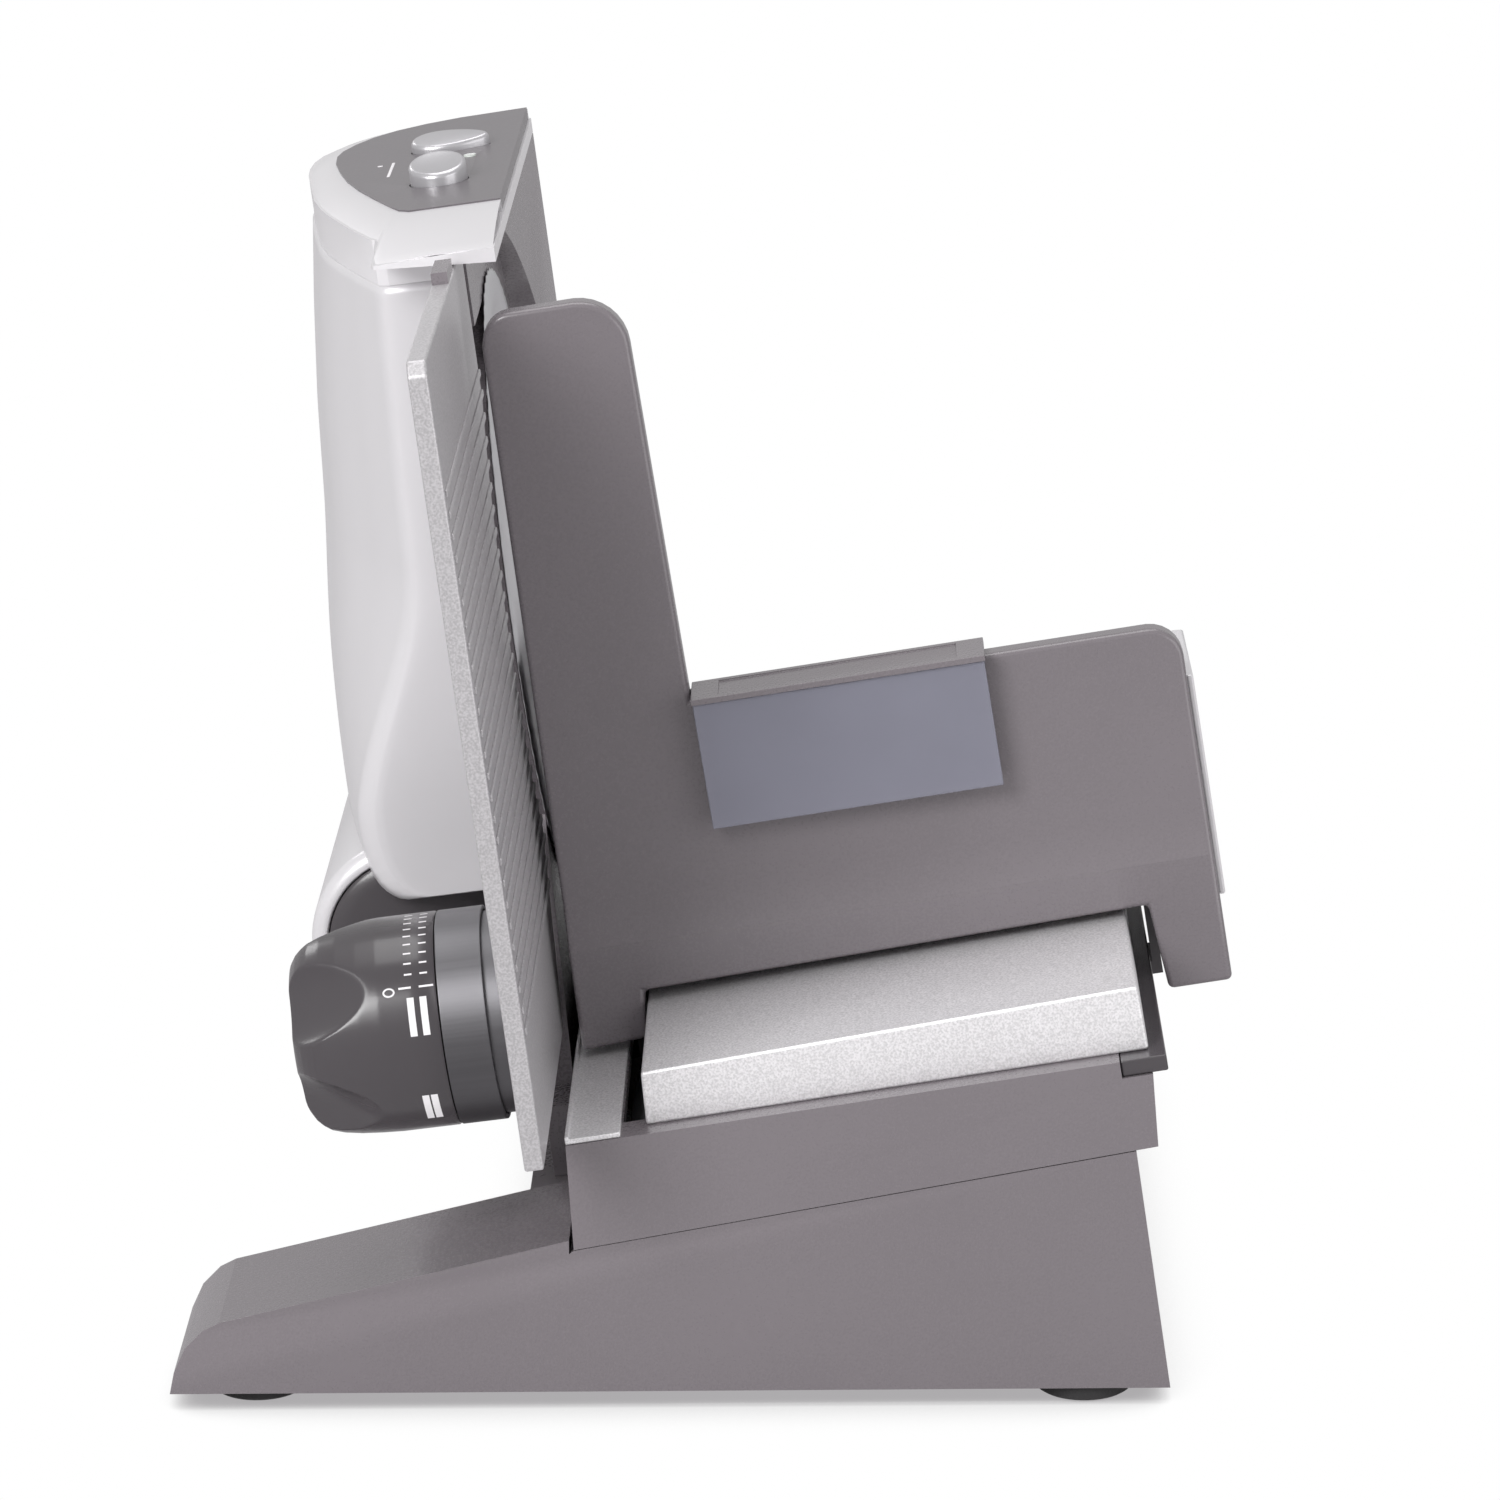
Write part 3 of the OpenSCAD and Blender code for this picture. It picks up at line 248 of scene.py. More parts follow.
@dataclass(frozen=True)
class Moulded:
    """Moulded plastic: a colour with faint clouding, fine grain, and convex edges lightened, partly as rubbed
    wear and partly as a painted edge highlight.
    """

    name: str
    colour: tuple[float, float, float]
    rough: float = 0.35
    grain: float = 900.0
    depth: float = 0.00002
    cloud: float = 0.06
    coat: float = 0.0
    metal: float = 0.0

    def make(self) -> bpy.types.Material:
        """Builds the material.

        Returns:
            The material.
        """
        g = Graph(self.name)
        where = g.place()
        cloud = g.noise(where, 22.0, 4.0)
        grain = g.noise(where, self.grain, 2.0)
        # Pointiness lightens convex edges: partly rubbed wear, partly a painted edge highlight.
        wear_and_highlight = g.node("ShaderNodeNewGeometry", {}, {}, "Pointiness")
        edge = ((wear_and_highlight - 0.515) * 9.0).clamp()
        body = g.blend(cloud, shade(self.colour, 1 - self.cloud), shade(self.colour, 1 + self.cloud))
        worn_and_highlit = g.blend(edge * 0.35, body, shade(self.colour, 1.35))
        g.set(Base_Color=worn_and_highlit, Roughness=(self.rough - 0.05 + grain * 0.06 + cloud * 0.05),
              Metallic=self.metal, Coat_Weight=self.coat, Coat_Roughness=0.12,
              Normal=g.bump(grain + cloud * 0.6, self.depth))
        return g.material


@dataclass(frozen=True)
class Speckled:
    """Silver paint with fine light and dark metal flakes."""

    name: str
    colour: tuple[float, float, float]
    flake: float = 1500.0
    contrast: float = 0.16
    rough: float = 0.36
    metal: float = 0.55

    def make(self) -> bpy.types.Material:
        """Builds the material.

        Returns:
            The material.
        """
        g = Graph(self.name)
        where = g.place()
        flake = g.noise(where, self.flake, 1.0)
        cloud = g.noise(where, 18.0, 3.0)
        mask = ((flake - 0.5) * 3.2 + 0.5).clamp()
        body = g.blend(mask, shade(self.colour, 1 - self.contrast), shade(self.colour, 1 + self.contrast))
        body = g.blend(cloud * 0.25, body, shade(self.colour, 0.9))
        g.set(Base_Color=body, Roughness=(self.rough + flake * 0.12), Metallic=self.metal,
              Normal=g.bump(flake, 0.000015))
        return g.material


@dataclass(frozen=True)
class Brushed:
    """Metal with a straight grain along one axis of a tilted frame."""

    name: str
    colour: tuple[float, float, float]
    along: Axis = Axis.AWAY
    frame: Tilted = BLADE
    rough: float = 0.3
    depth: float = 0.00001

    def make(self) -> bpy.types.Material:
        """Builds the material.

        Returns:
            The material.
        """
        g = Graph(self.name)
        scale = [900.0, 900.0, 900.0]
        scale[self.along.value] = 14.0
        hair = g.noise(g.place(tuple(scale), self.frame), 1.0, 3.0, 0.6)
        cloud = g.noise(g.place(), 35.0, 2.0)
        body = g.blend(hair, shade(self.colour, 0.86), shade(self.colour, 1.1))
        g.set(Base_Color=body, Roughness=(self.rough + hair * 0.16 + cloud * 0.04), Metallic=1.0,
              Normal=g.bump(hair, self.depth))
        return g.material


@dataclass(frozen=True)
class Turned:
    """Metal turned or ground in rings about an axis across the blade frame."""

    name: str
    colour: tuple[float, float, float]
    centre: tuple[float, float, float]
    rings: float = 2600.0
    rough: float = 0.22

    def make(self) -> bpy.types.Material:
        """Builds the material: rings of noise on the distance from the axis.

        Returns:
            The material.
        """
        g = Graph(self.name)
        flat = g.place((0.0, 1.0, 1.0), BLADE, self.centre)
        radius = g.node("ShaderNodeVectorMath", {"operation": "LENGTH"}, {0: flat}, "Value")
        ring = g.node("ShaderNodeTexNoise", {"noise_dimensions": "1D"},
                      {"W": radius * self.rings, "Scale": 1.0, "Detail": 2.0})
        smear = g.noise(g.place(), 60.0, 3.0)
        body = g.blend(ring, shade(self.colour, 0.84), shade(self.colour, 1.08))
        g.set(Base_Color=body, Roughness=(self.rough + ring * 0.14 + smear * 0.06), Metallic=1.0,
              Normal=g.bump(ring, 0.000012))
        return g.material


@dataclass(frozen=True)
class Clear:
    """Tinted clear plastic with faint scuffs."""

    name: str
    colour: tuple[float, float, float]
    cover: float = 0.55

    def make(self) -> bpy.types.Material:
        """Builds the material.

        Returns:
            The material.
        """
        g = Graph(self.name)
        scuff = g.noise(g.place((1.0, 1.0, 1.0), TABLE), 160.0, 4.0, 0.7)
        haze = g.noise(g.place(), 20.0, 2.0)
        g.set(Base_Color=g.blend(haze, shade(self.colour, 0.92), shade(self.colour, 1.06)),
              Roughness=(0.12 + scuff * 0.16), Alpha=(self.cover + haze * 0.08), Coat_Weight=0.4,
              Normal=g.bump(scuff, 0.00001))
        g.material.surface_render_method = "BLENDED"
        return g.material


@dataclass(frozen=True)
class Wound:
    """Enamelled wire, wound in turns along an axis."""

    name: str
    colour: tuple[float, float, float]
    turns: float = 5200.0

    def make(self) -> bpy.types.Material:
        """Builds the material.

        Returns:
            The material.
        """
        g = Graph(self.name)
        axes = g.node("ShaderNodeSeparateXYZ", {}, {0: g.place()}, "Y")
        wire = (axes * self.turns).sine() * 0.5 + 0.5
        drift = g.noise(g.place(), 120.0, 2.0)
        g.set(Base_Color=g.blend(wire, shade(self.colour, 0.55), shade(self.colour, 1.15)),
              Roughness=(0.28 + drift * 0.2), Metallic=0.85, Normal=g.bump(wire, 0.0001))
        return g.material


HUB = BLADE.spot(0.0, 195.0, 159.0)

WARM_GREY = Moulded("warm_grey_plastic", (0.155, 0.138, 0.150), 0.27, 1100.0, 0.000012, 0.05, 0.25)
PANEL_GREY = Moulded("panel_grey_plastic", (0.122, 0.110, 0.120), 0.34, 1100.0, 0.000012, 0.05, 0.15)
PEARL = Moulded("pearl_paint", (0.665, 0.65, 0.67), 0.34, 1600.0, 0.000006, 0.02, 0.35, 0.25)
CHARCOAL = Moulded("charcoal_plastic", (0.056, 0.050, 0.055), 0.24, 1400.0, 0.000010, 0.08, 0.2)
RUBBER = Moulded("dark_rubber", (0.022, 0.021, 0.022), 0.72, 700.0, 0.00005, 0.12)
NYLON = Moulded("white_nylon", (0.72, 0.70, 0.64), 0.45, 900.0, 0.00002, 0.04)
BOARD = Moulded("switch_plastic", (0.03, 0.09, 0.16), 0.4, 900.0, 0.00002, 0.10)
CAST = Moulded("cast_frame_metal", (0.17, 0.16, 0.155), 0.5, 420.0, 0.00008, 0.12, 0.0, 0.8)
PRINT = Moulded("dial_print", (0.70, 0.68, 0.70), 0.5, 1500.0, 0.000005, 0.03)
LENS = Moulded("pale_lens", (0.66, 0.70, 0.66), 0.12, 900.0, 0.000005, 0.05, 0.8)
SILVER = Speckled("speckled_silver", (0.52, 0.505, 0.52))
# A lighter copy of the speckled silver for the deck and tray: painted light, as if they were lit more from
# above.
LIT_DECK_SILVER = Speckled("deck_silver_painted_lighter", (0.86, 0.845, 0.86))
BRUSHED = Brushed("brushed_collar", (0.19, 0.186, 0.196), Axis.ACROSS, BLADE, 0.34)
BUTTON_METAL = Moulded("button_silver", (0.50, 0.49, 0.51), 0.30, 1500.0, 0.000006, 0.03, 0.2, 0.6)
STEEL = Brushed("turned_steel", (0.60, 0.60, 0.62), Axis.AWAY, BLADE, 0.24)
BLADE_STEEL = Turned("ground_blade_steel", (0.74, 0.74, 0.76), HUB)
BRONZE = Turned("sintered_bronze", (0.56, 0.38, 0.20), HUB, 1800.0, 0.4)
COPPER = Wound("winding_copper", (0.60, 0.28, 0.14))
CLEAR = Clear("tinted_clear_plate", (0.235, 0.235, 0.29), 0.62)

FINISHES = {
    "base_housing": WARM_GREY, "base_floor": CHARCOAL, "feet": RUBBER, "base_screws": STEEL,
    "cord_inlet": RUBBER, "terminal_block": NYLON, "rail_block": WARM_GREY, "guide_rod": STEEL,
    "tray": LIT_DECK_SILVER, "deck_cover": LIT_DECK_SILVER, "right_rail": CHARCOAL, "carriage_wall": WARM_GREY,
    "carriage_frame": WARM_GREY, "carriage_table": SILVER, "wall_liner": SILVER, "side_panel": PEARL,
    "guide_shoe": CHARCOAL, "slide_hooks": CHARCOAL, "glide_pads": NYLON, "holder_plate": CLEAR,
    "holder_bridge": WARM_GREY, "pusher": WARM_GREY, "pusher_pins": STEEL, "blade": BLADE_STEEL,
    "blade_hub": CHARCOAL, "blade_lock": BLADE_STEEL, "blade_spindle": STEEL, "spindle_bush": BRONZE,
    "worm_wheel": NYLON, "worm": STEEL, "armature": COPPER, "commutator": BRONZE,
    "cooling_fan": CHARCOAL, "motor_can": STEEL, "stator": CAST, "brushes": CHARCOAL,
    "motor_bearings": BRONZE, "gear_frame": CAST, "blade_plate": WARM_GREY, "front_bracket": CAST,
    "fence_plate": SILVER, "fence_carrier": BRUSHED, "fence_rods": STEEL, "fence_clip": WARM_GREY,
    "knob": CHARCOAL, "knob_spindle": STEEL, "knob_collar": BRUSHED, "motor_shell": PEARL,
    "motor_pod": PEARL, "pod_cap": CHARCOAL, "pod_bracket": CAST, "transformer": COPPER,
    "hood": PEARL, "control_panel": PANEL_GREY, "indicator_lens": LENS, "round_button": BUTTON_METAL,
    "long_button": BUTTON_METAL, "round_spring": STEEL, "long_spring": STEEL, "switches": BOARD,
}


class Paintshop:
    """Makes each finish once and gives it to pieces."""

    def __init__(self) -> None:
        """Starts with no material made."""
        self.made: dict[str, bpy.types.Material] = {}

    def dress(self, piece: bpy.types.Object, finish: object) -> None:
        """Gives a piece one finish.

        Args:
            piece: The object.
            finish: A finish with a name and a make method.
        """
        if finish.name not in self.made:
            self.made[finish.name] = finish.make()
        piece.data.materials.clear()
        piece.data.materials.append(self.made[finish.name])


def corners_of(index: np.ndarray) -> np.ndarray:
    """The four corners of every face of a grid of point numbers."""
    return np.stack([index[:-1, :-1], index[:-1, 1:], index[1:, 1:], index[1:, :-1]], -1).reshape(-1, 4)


def grid_piece(name: str, points: np.ndarray, wrap: tuple[bool, bool] = (False, False)) -> bpy.types.Object:
    """A mesh from a grid of points; doubles are merged and faces turned outwards.

    Args:
        name: The piece's name.
        points: Array of rows by columns by 3, in metres.
        wrap: Whether rows and columns close on themselves.

    Returns:
        The object, smooth, at the origin.
    """
    rows, columns = points.shape[:2]
    index = np.arange(rows * columns).reshape(rows, columns)
    if wrap[0]:
        index = np.vstack([index, index[:1]])
    if wrap[1]:
        index = np.hstack([index, index[:, :1]])
    mesh = bpy.data.meshes.new(name)
    mesh.from_pydata(points.reshape(-1, 3).tolist(), [], corners_of(index).tolist())
    return finish_mesh(name, mesh)


def finish_mesh(name: str, mesh: bpy.types.Mesh, smooth: float = 35.0) -> bpy.types.Object:
    """Merges doubles, turns faces outwards, and puts the mesh in a new object.

    Args:
        name: The piece's name.
        mesh: Its mesh.
        smooth: Edges sharper than this angle stay sharp, in degrees.

    Returns:
        The object.
    """
    work = bmesh.new()
    work.from_mesh(mesh)
    bmesh.ops.remove_doubles(work, verts=work.verts, dist=1e-6)
    bmesh.ops.dissolve_degenerate(work, edges=work.edges, dist=1e-7)
    bmesh.ops.recalc_face_normals(work, faces=work.faces)
    work.to_mesh(mesh)
    work.free()
    mesh.shade_smooth()
    mesh.set_sharp_from_angle(angle=math.radians(smooth))
    piece = bpy.data.objects.new(name, mesh)
    bpy.context.scene.collection.objects.link(piece)
    return piece


def join_grids(name: str, grids: list[np.ndarray], smooth: float = 35.0) -> bpy.types.Object:
    """Several closed grids as one piece, each wrapped along its columns and capped by its poles.

    Args:
        name: The piece's name.
        grids: Arrays of rows by columns by 3, in metres.
        smooth: Edges sharper than this angle stay sharp, in degrees.

    Returns:
        The object.
    """
    points, quads, base = [], [], 0
    for grid in grids:
        rows, columns = grid.shape[:2]
        index = base + np.arange(rows * columns).reshape(rows, columns)
        index = np.hstack([index, index[:, :1]])
        quads.append(corners_of(index))
        points.append(grid.reshape(-1, 3))
        base += rows * columns
    mesh = bpy.data.meshes.new(name)
    mesh.from_pydata(np.concatenate(points).tolist(), [], np.concatenate(quads).tolist())
    return finish_mesh(name, mesh, smooth)


def bar_grid(frame: Tilted, low: tuple, high: tuple, round_by: float) -> np.ndarray:
    """A bar with rounded ends and edges, as rings along the away axis.

    The section is a rounded rectangle across and up; it shrinks to a point at both ends.

    Args:
        frame: The tilted frame of the corners.
        low: Lowest corner, in millimetres.
        high: Highest corner.
        round_by: Radius of the rounding.

    Returns:
        Rows of rings, for join_grids.
    """
    turn = np.linspace(0, 2 * np.pi, 13)[:-1] + np.pi / 12
    corner = np.sign(np.round(np.stack([np.cos(turn), np.sin(turn)]), 6))
    half = np.array([(high[0] - low[0]) / 2, (high[2] - low[2]) / 2])
    mid = np.array([(high[0] + low[0]) / 2, (high[2] + low[2]) / 2])
    ends = np.array([0.0, 0.3, 0.7, 1.0]) * round_by
    inset = np.array([0.5, 0.18, 0.04, 0.0]) * round_by
    away = np.concatenate([[low[1]], low[1] + ends, high[1] - ends[::-1], [high[1]]])
    trim = np.concatenate([[half.min()], inset, inset[::-1], [half.min()]])
    size = np.maximum(half[:, None] - trim[None, :], 0.0)
    r = np.minimum(round_by, size)
    a = mid[0] + corner[0][None, :] * (size[0] - r[0])[:, None] + np.cos(turn)[None, :] * r[0][:, None]
    c = mid[1] + corner[1][None, :] * (size[1] - r[1])[:, None] + np.sin(turn)[None, :] * r[1][:, None]
    return frame.place(a, np.broadcast_to(away[:, None], a.shape), c)


class Workshop:
    """Holds the frame and what every sub-assembly needs to add pieces."""

    def __init__(self, frame: dict, paint: Paintshop) -> None:
        """Keeps the loaded frame and the paintshop."""
        self.frame = frame
        self.paint = paint

    def add(self, piece: bpy.types.Object, body: str, finish: object, slot: str,
            stands_for: tuple[str, ...] = ()) -> bpy.types.Object:
        """Dresses a piece and makes it ride on a body.

        Args:
            piece: The object.
            body: The CAD body it moves with.
            finish: Its finish.
            slot: Not used.
            stands_for: CAD nodes that it replaces.

        Returns:
            The piece.
        """
        self.paint.dress(piece, finish)
        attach(piece, body)
        if stands_for:
            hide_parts(*stands_for)
        log.info("piece %s rides on %s", piece.name, body)
        return piece

    def soften(self, node: str, body: str, slot: str, width: float, segments: int = 3,
               move: Callable[[Vector], Vector] | None = None) -> bpy.types.Object:
        """Stands a copy of a CAD node with rounded edges in its place.

        The copy's triangles are merged into flat faces, and its sharp edges get a bevel.

        Args:
            node: The CAD node.
            body: The body that it belongs to.
            slot: The record's material slot.
            width: Width of the rounding, in millimetres.
            segments: Steps of the rounding.
            move: What moves a point of the copy, if its shape differs.

        Returns:
            The piece.
        """
        mesh = bpy.data.meshes.new(node + "_rounded")
        work = bmesh.new()
        work.from_mesh(self.frame["nodes"][node].data)
        bmesh.ops.remove_doubles(work, verts=work.verts, dist=2e-6)
        bmesh.ops.dissolve_limit(work, angle_limit=math.radians(0.6), verts=work.verts, edges=work.edges,
                                 delimit=set())
        if move:
            for corner in work.verts:
                corner.co = move(corner.co)
        work.to_mesh(mesh)
        work.free()
        mesh.shade_smooth()
        mesh.set_sharp_from_angle(angle=math.radians(32))
        piece = bpy.data.objects.new(node + "_rounded", mesh)
        bpy.context.scene.collection.objects.link(piece)
        bevel = piece.modifiers.new("round", "BEVEL")
        bevel.width = width / 1000.0
        bevel.segments = segments
        bevel.limit_method = "ANGLE"
        bevel.angle_limit = math.radians(32)
        bevel.harden_normals = True
        bevel.use_clamp_overlap = True
        return self.add(piece, body, FINISHES[node], slot, (node,))


@dataclass
class Chassis:
    """Base, rail block, deck, tray and blade plate."""

    edge: float = 1.6

    def build(self, shop: Workshop) -> None:
        """Rounds the large mouldings and leaves the small ones."""
        for node, slot, width in (
                ("base_housing", "warm_grey_plastic", self.edge), ("rail_block", "warm_grey_plastic", 1.0),
                ("deck_cover", "speckled_silver", 0.9), ("tray", "speckled_silver", 0.5),
                ("right_rail", "charcoal_plastic", 0.6), ("blade_plate", "warm_grey_plastic", 1.0)):
            shop.soften(node, "body", slot, width)


@dataclass
class Carriage:
    """Wall, table, frame and side panel that slide beside the blade."""

    edge: float = 3.2

    def build(self, shop: Workshop) -> None:
        """Rounds the carriage's mouldings."""
        for node, slot, width in (
                ("carriage_wall", "warm_grey_plastic", self.edge), ("carriage_frame", "warm_grey_plastic", 0.8),
                ("carriage_table", "speckled_silver", 0.25), ("side_panel", "pearl_plastic", 0.9),
                ("wall_liner", "speckled_silver", 0.4)):
            shop.soften(node, "carriage", slot, width)


@dataclass
class FoodHolder:
    """Clear plate, bridge and pusher that slide on the carriage."""

    edge: float = 1.0

    def build(self, shop: Workshop) -> None:
        """Rounds the holder's mouldings."""
        for node, slot, width in (
                ("holder_plate", "clear_plate", 0.5), ("holder_bridge", "warm_grey_plastic", self.edge),
                ("pusher", "warm_grey_plastic", self.edge)):
            shop.soften(node, "food_holder", slot, width)


@dataclass
class Blade:
    """Round blade with a wavy ground edge."""

    radius: float = 95.0
    thick: float = 1.2
    face: float = 1.0
    bore: float = 12.0
    waves: int = 66
    middle_y: float = 195.0
    middle_q: float = 159.0

    def surface(self) -> np.ndarray:
        """Profile from the right face over the edge to the left face, turned about the blade's axis.

        The edge radius is the blade's radius less a wave; a hollow-ground bevel leads to it.

        Returns:
            Grid of points.
        """
        turn = np.linspace(0, 2 * np.pi, self.waves * 8 + 1)[:-1]
        wave = 0.9 * np.sin(turn * self.waves / 2) ** 2
        rim = self.radius - wave
        ring = np.ones_like(turn)
        back = self.face - self.thick
        rows = [(self.bore * ring, back), (self.bore * ring, self.face)]
        rows += [(r * ring, self.face - d) for r, d in
                 ((30.0, 0.0), (30.6, 0.15), (66.0, 0.3), (84.0, 0.3), (84.6, 0.0), (88.0, 0.02))]
        rows += [(rim - 3.0, self.face - 0.25), (rim - 1.2, self.face - 0.5), (rim, self.face - 0.95),
                 (rim - 0.1, back), (70.0 * ring, back), (self.bore * ring, back)]
        radius = np.stack([r for r, _ in rows])
        across = np.stack([np.full_like(turn, p) for _, p in rows])
        return BLADE.place(across, self.middle_y + radius * np.cos(turn), self.middle_q + radius * np.sin(turn))

    def build(self, shop: Workshop) -> None:
        """Adds the ground blade and rounds its lock cap."""
        piece = grid_piece("blade_ground", self.surface(), (False, True))
        shop.add(piece, "blade_set", BLADE_STEEL, "blade_steel", ("blade",))
        shop.soften("blade_lock", "blade_set", "brushed_metal", 0.5)


@dataclass
class StopPlate:
    """Ribbed plate that the food slides along and that sets the slice."""

    near: float = -45.0
    ribs: int = 26
    low: float = 81.0
    high: float = 237.0
    face: float = -1.0
    recess: float = 99.0

    def far_end(self, up: float) -> float:
        """Where the plate ends at a height: its slanted foot, the blade's recess, or its straight far edge."""
        if up < 96.0:
            return 87.0 + (up - 40.5) * 31.6 / 55.5
        drop = abs(up - 159.0)
        return 195.0 - math.sqrt(self.recess ** 2 - drop ** 2) if drop < 70.0 else 125.0

    def build(self, shop: Workshop) -> None:
        """Rounds the plate and lays low ribs along its right face, up to the blade's recess."""
        shop.soften("fence_plate", "stop_plate", "speckled_silver", 0.8)
        grids = [bar_grid(BLADE, (self.face - 0.3, self.near + 2.0, up - 1.1),
                          (self.face + 0.6, self.far_end(up) - 1.0, up + 1.1), 0.5)
                 for up in np.linspace(self.low, self.high, self.ribs)]
        shop.add(join_grids("stop_plate_ribs", grids), "stop_plate", SILVER, "speckled_silver")


@dataclass
class ThicknessKnob:
    """Charcoal knob with finger scoops and a printed dial, and its brushed collar."""

    radius: float = 31.3
    left: float = -71.9
    right: float = -27.9
    axis_y: float = 20.0
    axis_q: float = 69.0
    scoops: int = 5
    first: float = 36.0
    reach: float = 40.7
    slope: float = 0.587
    groove: tuple[float, float] = (23.2, 20.0)
    soft: float = 0.3
    hollow: float = 24.4

    def at(self, across: np.ndarray, radius: np.ndarray, turn: np.ndarray) -> np.ndarray:
        """Point at a place across, a radius and a turn, counted from the near side upwards."""
        return BLADE.place(across, self.axis_y - radius * np.cos(turn), self.axis_q + radius * np.sin(turn))

    def side(self, depth: np.ndarray, turn: np.ndarray) -> np.ndarray:
        """Radius of the side: the turned profile, cut by slanted round grooves.

        A groove's section is an ellipse whose middle moves outwards with depth. Its near root along the
        turn's ray is the groove's radius, and a soft minimum rounds the edge between both.

        Args:
            depth: Depths from the knob's left end, in millimetres.
            turn: Turns, in radians.

        Returns:
            Array of depths by turns.
        """
        knots = ((0.0, 20.2), (0.6, 22.0), (1.2, 23.2), (2.6, 25.5), (4.3, 27.2), (6.4, 28.6), (10.0, 29.7),
                 (15.0, 30.5), (21.0, 31.0), (27.0, 31.3), (44.0, 31.3))
        plain = np.interp(depth, *np.array(knots).T)[:, None] + 0 * turn[None, :]
        step = 2 * np.pi / self.scoops
        near = (turn - math.radians(self.first) + step / 2) % step - step / 2
        middle = self.reach + self.slope * depth[:, None]
        a, b = self.groove
        low = (np.cos(near) / a) ** 2 + (np.sin(near) / b) ** 2
        half = middle * np.cos(near) / a ** 2
        root = half ** 2 - low * ((middle / a) ** 2 - 1.0)
        cut = np.where(root > 0, (half - np.sqrt(np.maximum(root, 0.0))) / low, 99.0)
        base = 20.0
        both = sum(np.exp((base - np.minimum(r, 60.0)) / self.soft) for r in (plain, cut))
        return base - self.soft * np.log(both)

    def skin(self) -> np.ndarray:
        """The knob's face, grooved side and hollow right end.

        Returns:
            Grid of points.
        """
        turn = np.linspace(0, 2 * np.pi, 421)[:-1]
        long = self.right - self.left
        depth = np.concatenate([np.linspace(0.0, 3.0, 9), np.linspace(3.6, 30.0, 56), [36.0, long - 0.6]])
        side = self.side(depth, turn)
        rim = side[:1]
        face = [(share, lift) for share, lift in ((0.0, 0.5), (0.45, 0.45), (0.86, 0.25), (0.95, 0.02))]
        rows = [(rim * share, lift) for share, lift in face]
        rows += [(side[i:i + 1], z + (0.12 if i == 0 else 0.0)) for i, z in enumerate(depth)]
        rows += [(0 * rim + r, z) for r, z in
                 ((30.9, long), (self.hollow, long), (self.hollow, 12.0), (3.0, 12.0), (0.0, 12.0))]
        radius = np.concatenate([r for r, _ in rows])
        across = np.array([self.left + z for _, z in rows])[:, None] + 0 * radius
        return self.at(across, radius, turn[None, :] + 0 * radius)

    def mark(self, inset: float, width: float, start: float, stop: float) -> np.ndarray:
        """A thin printed patch on the side, closed into a flat box.

        Args:
            inset: Distance of its middle from the knob's right end.
            width: Its width across.
            start: First turn, in degrees.
            stop: Last turn.

        Returns:
            Grid of rings along the turn.
        """
        turn = np.radians(np.linspace(start, stop, 8))
        p = self.right - inset + np.array([-1, 1, 1, -1]) * width / 2
        r = self.radius + np.array([-0.3, -0.3, 0.06, 0.06])
        turn = turn[:, None] + 0 * p[None, :]
        ring = self.at(p + 0 * turn, r + 0 * turn, turn)
        first, last = ring[:1].mean(axis=1, keepdims=True), ring[-1:].mean(axis=1, keepdims=True)
        return np.concatenate([np.repeat(first, 4, 1), ring, np.repeat(last, 4, 1)])

    def zero(self, inset: float, middle: float) -> np.ndarray:
        """The dial's nought: a printed ring on the side."""
        a = np.linspace(0, 2 * np.pi, 41)[:, None]
        b = np.linspace(0, 2 * np.pi, 7)[None, :-1]
        across = self.right - inset + (1.5 + 0.26 * np.cos(b)) * np.cos(a)
        arc = (1.15 + 0.26 * np.cos(b)) * np.sin(a)
        radius = self.radius + 0.09 * np.sin(b) + 0 * a
        return self.at(across, radius, math.radians(middle) + arc / self.radius)

    def build(self, shop: Workshop) -> None:
        """Adds the scooped knob, its dial marks and the collar."""
        knob = grid_piece("knob_scooped", self.skin(), (False, True))
        shop.add(knob, "thickness_knob", CHARCOAL, "charcoal_plastic", ("knob",))
        marks = [self.zero(13.6, 33.5), self.mark(8.9, 3.6, 34.5, 35.6), self.mark(2.7, 4.2, 34.5, 35.6)]
        for turn in 42.0 + 6.5 * np.arange(9):
            marks += [self.mark(inset, 2.2, turn, turn + 1.0) for inset in (7.7, 3.2)]
        for insets, start, stop in (((7.6, 3.9), 9.0, 29.5), ((7.3, 4.8), -47.5, -26.5)):
            marks += [self.mark(inset, 2.0, start, stop) for inset in insets]
        shop.add(join_grids("dial_marks", marks), "thickness_knob", PRINT, "charcoal_plastic")
        shop.soften("knob_collar", "body", "brushed_metal", 0.4)


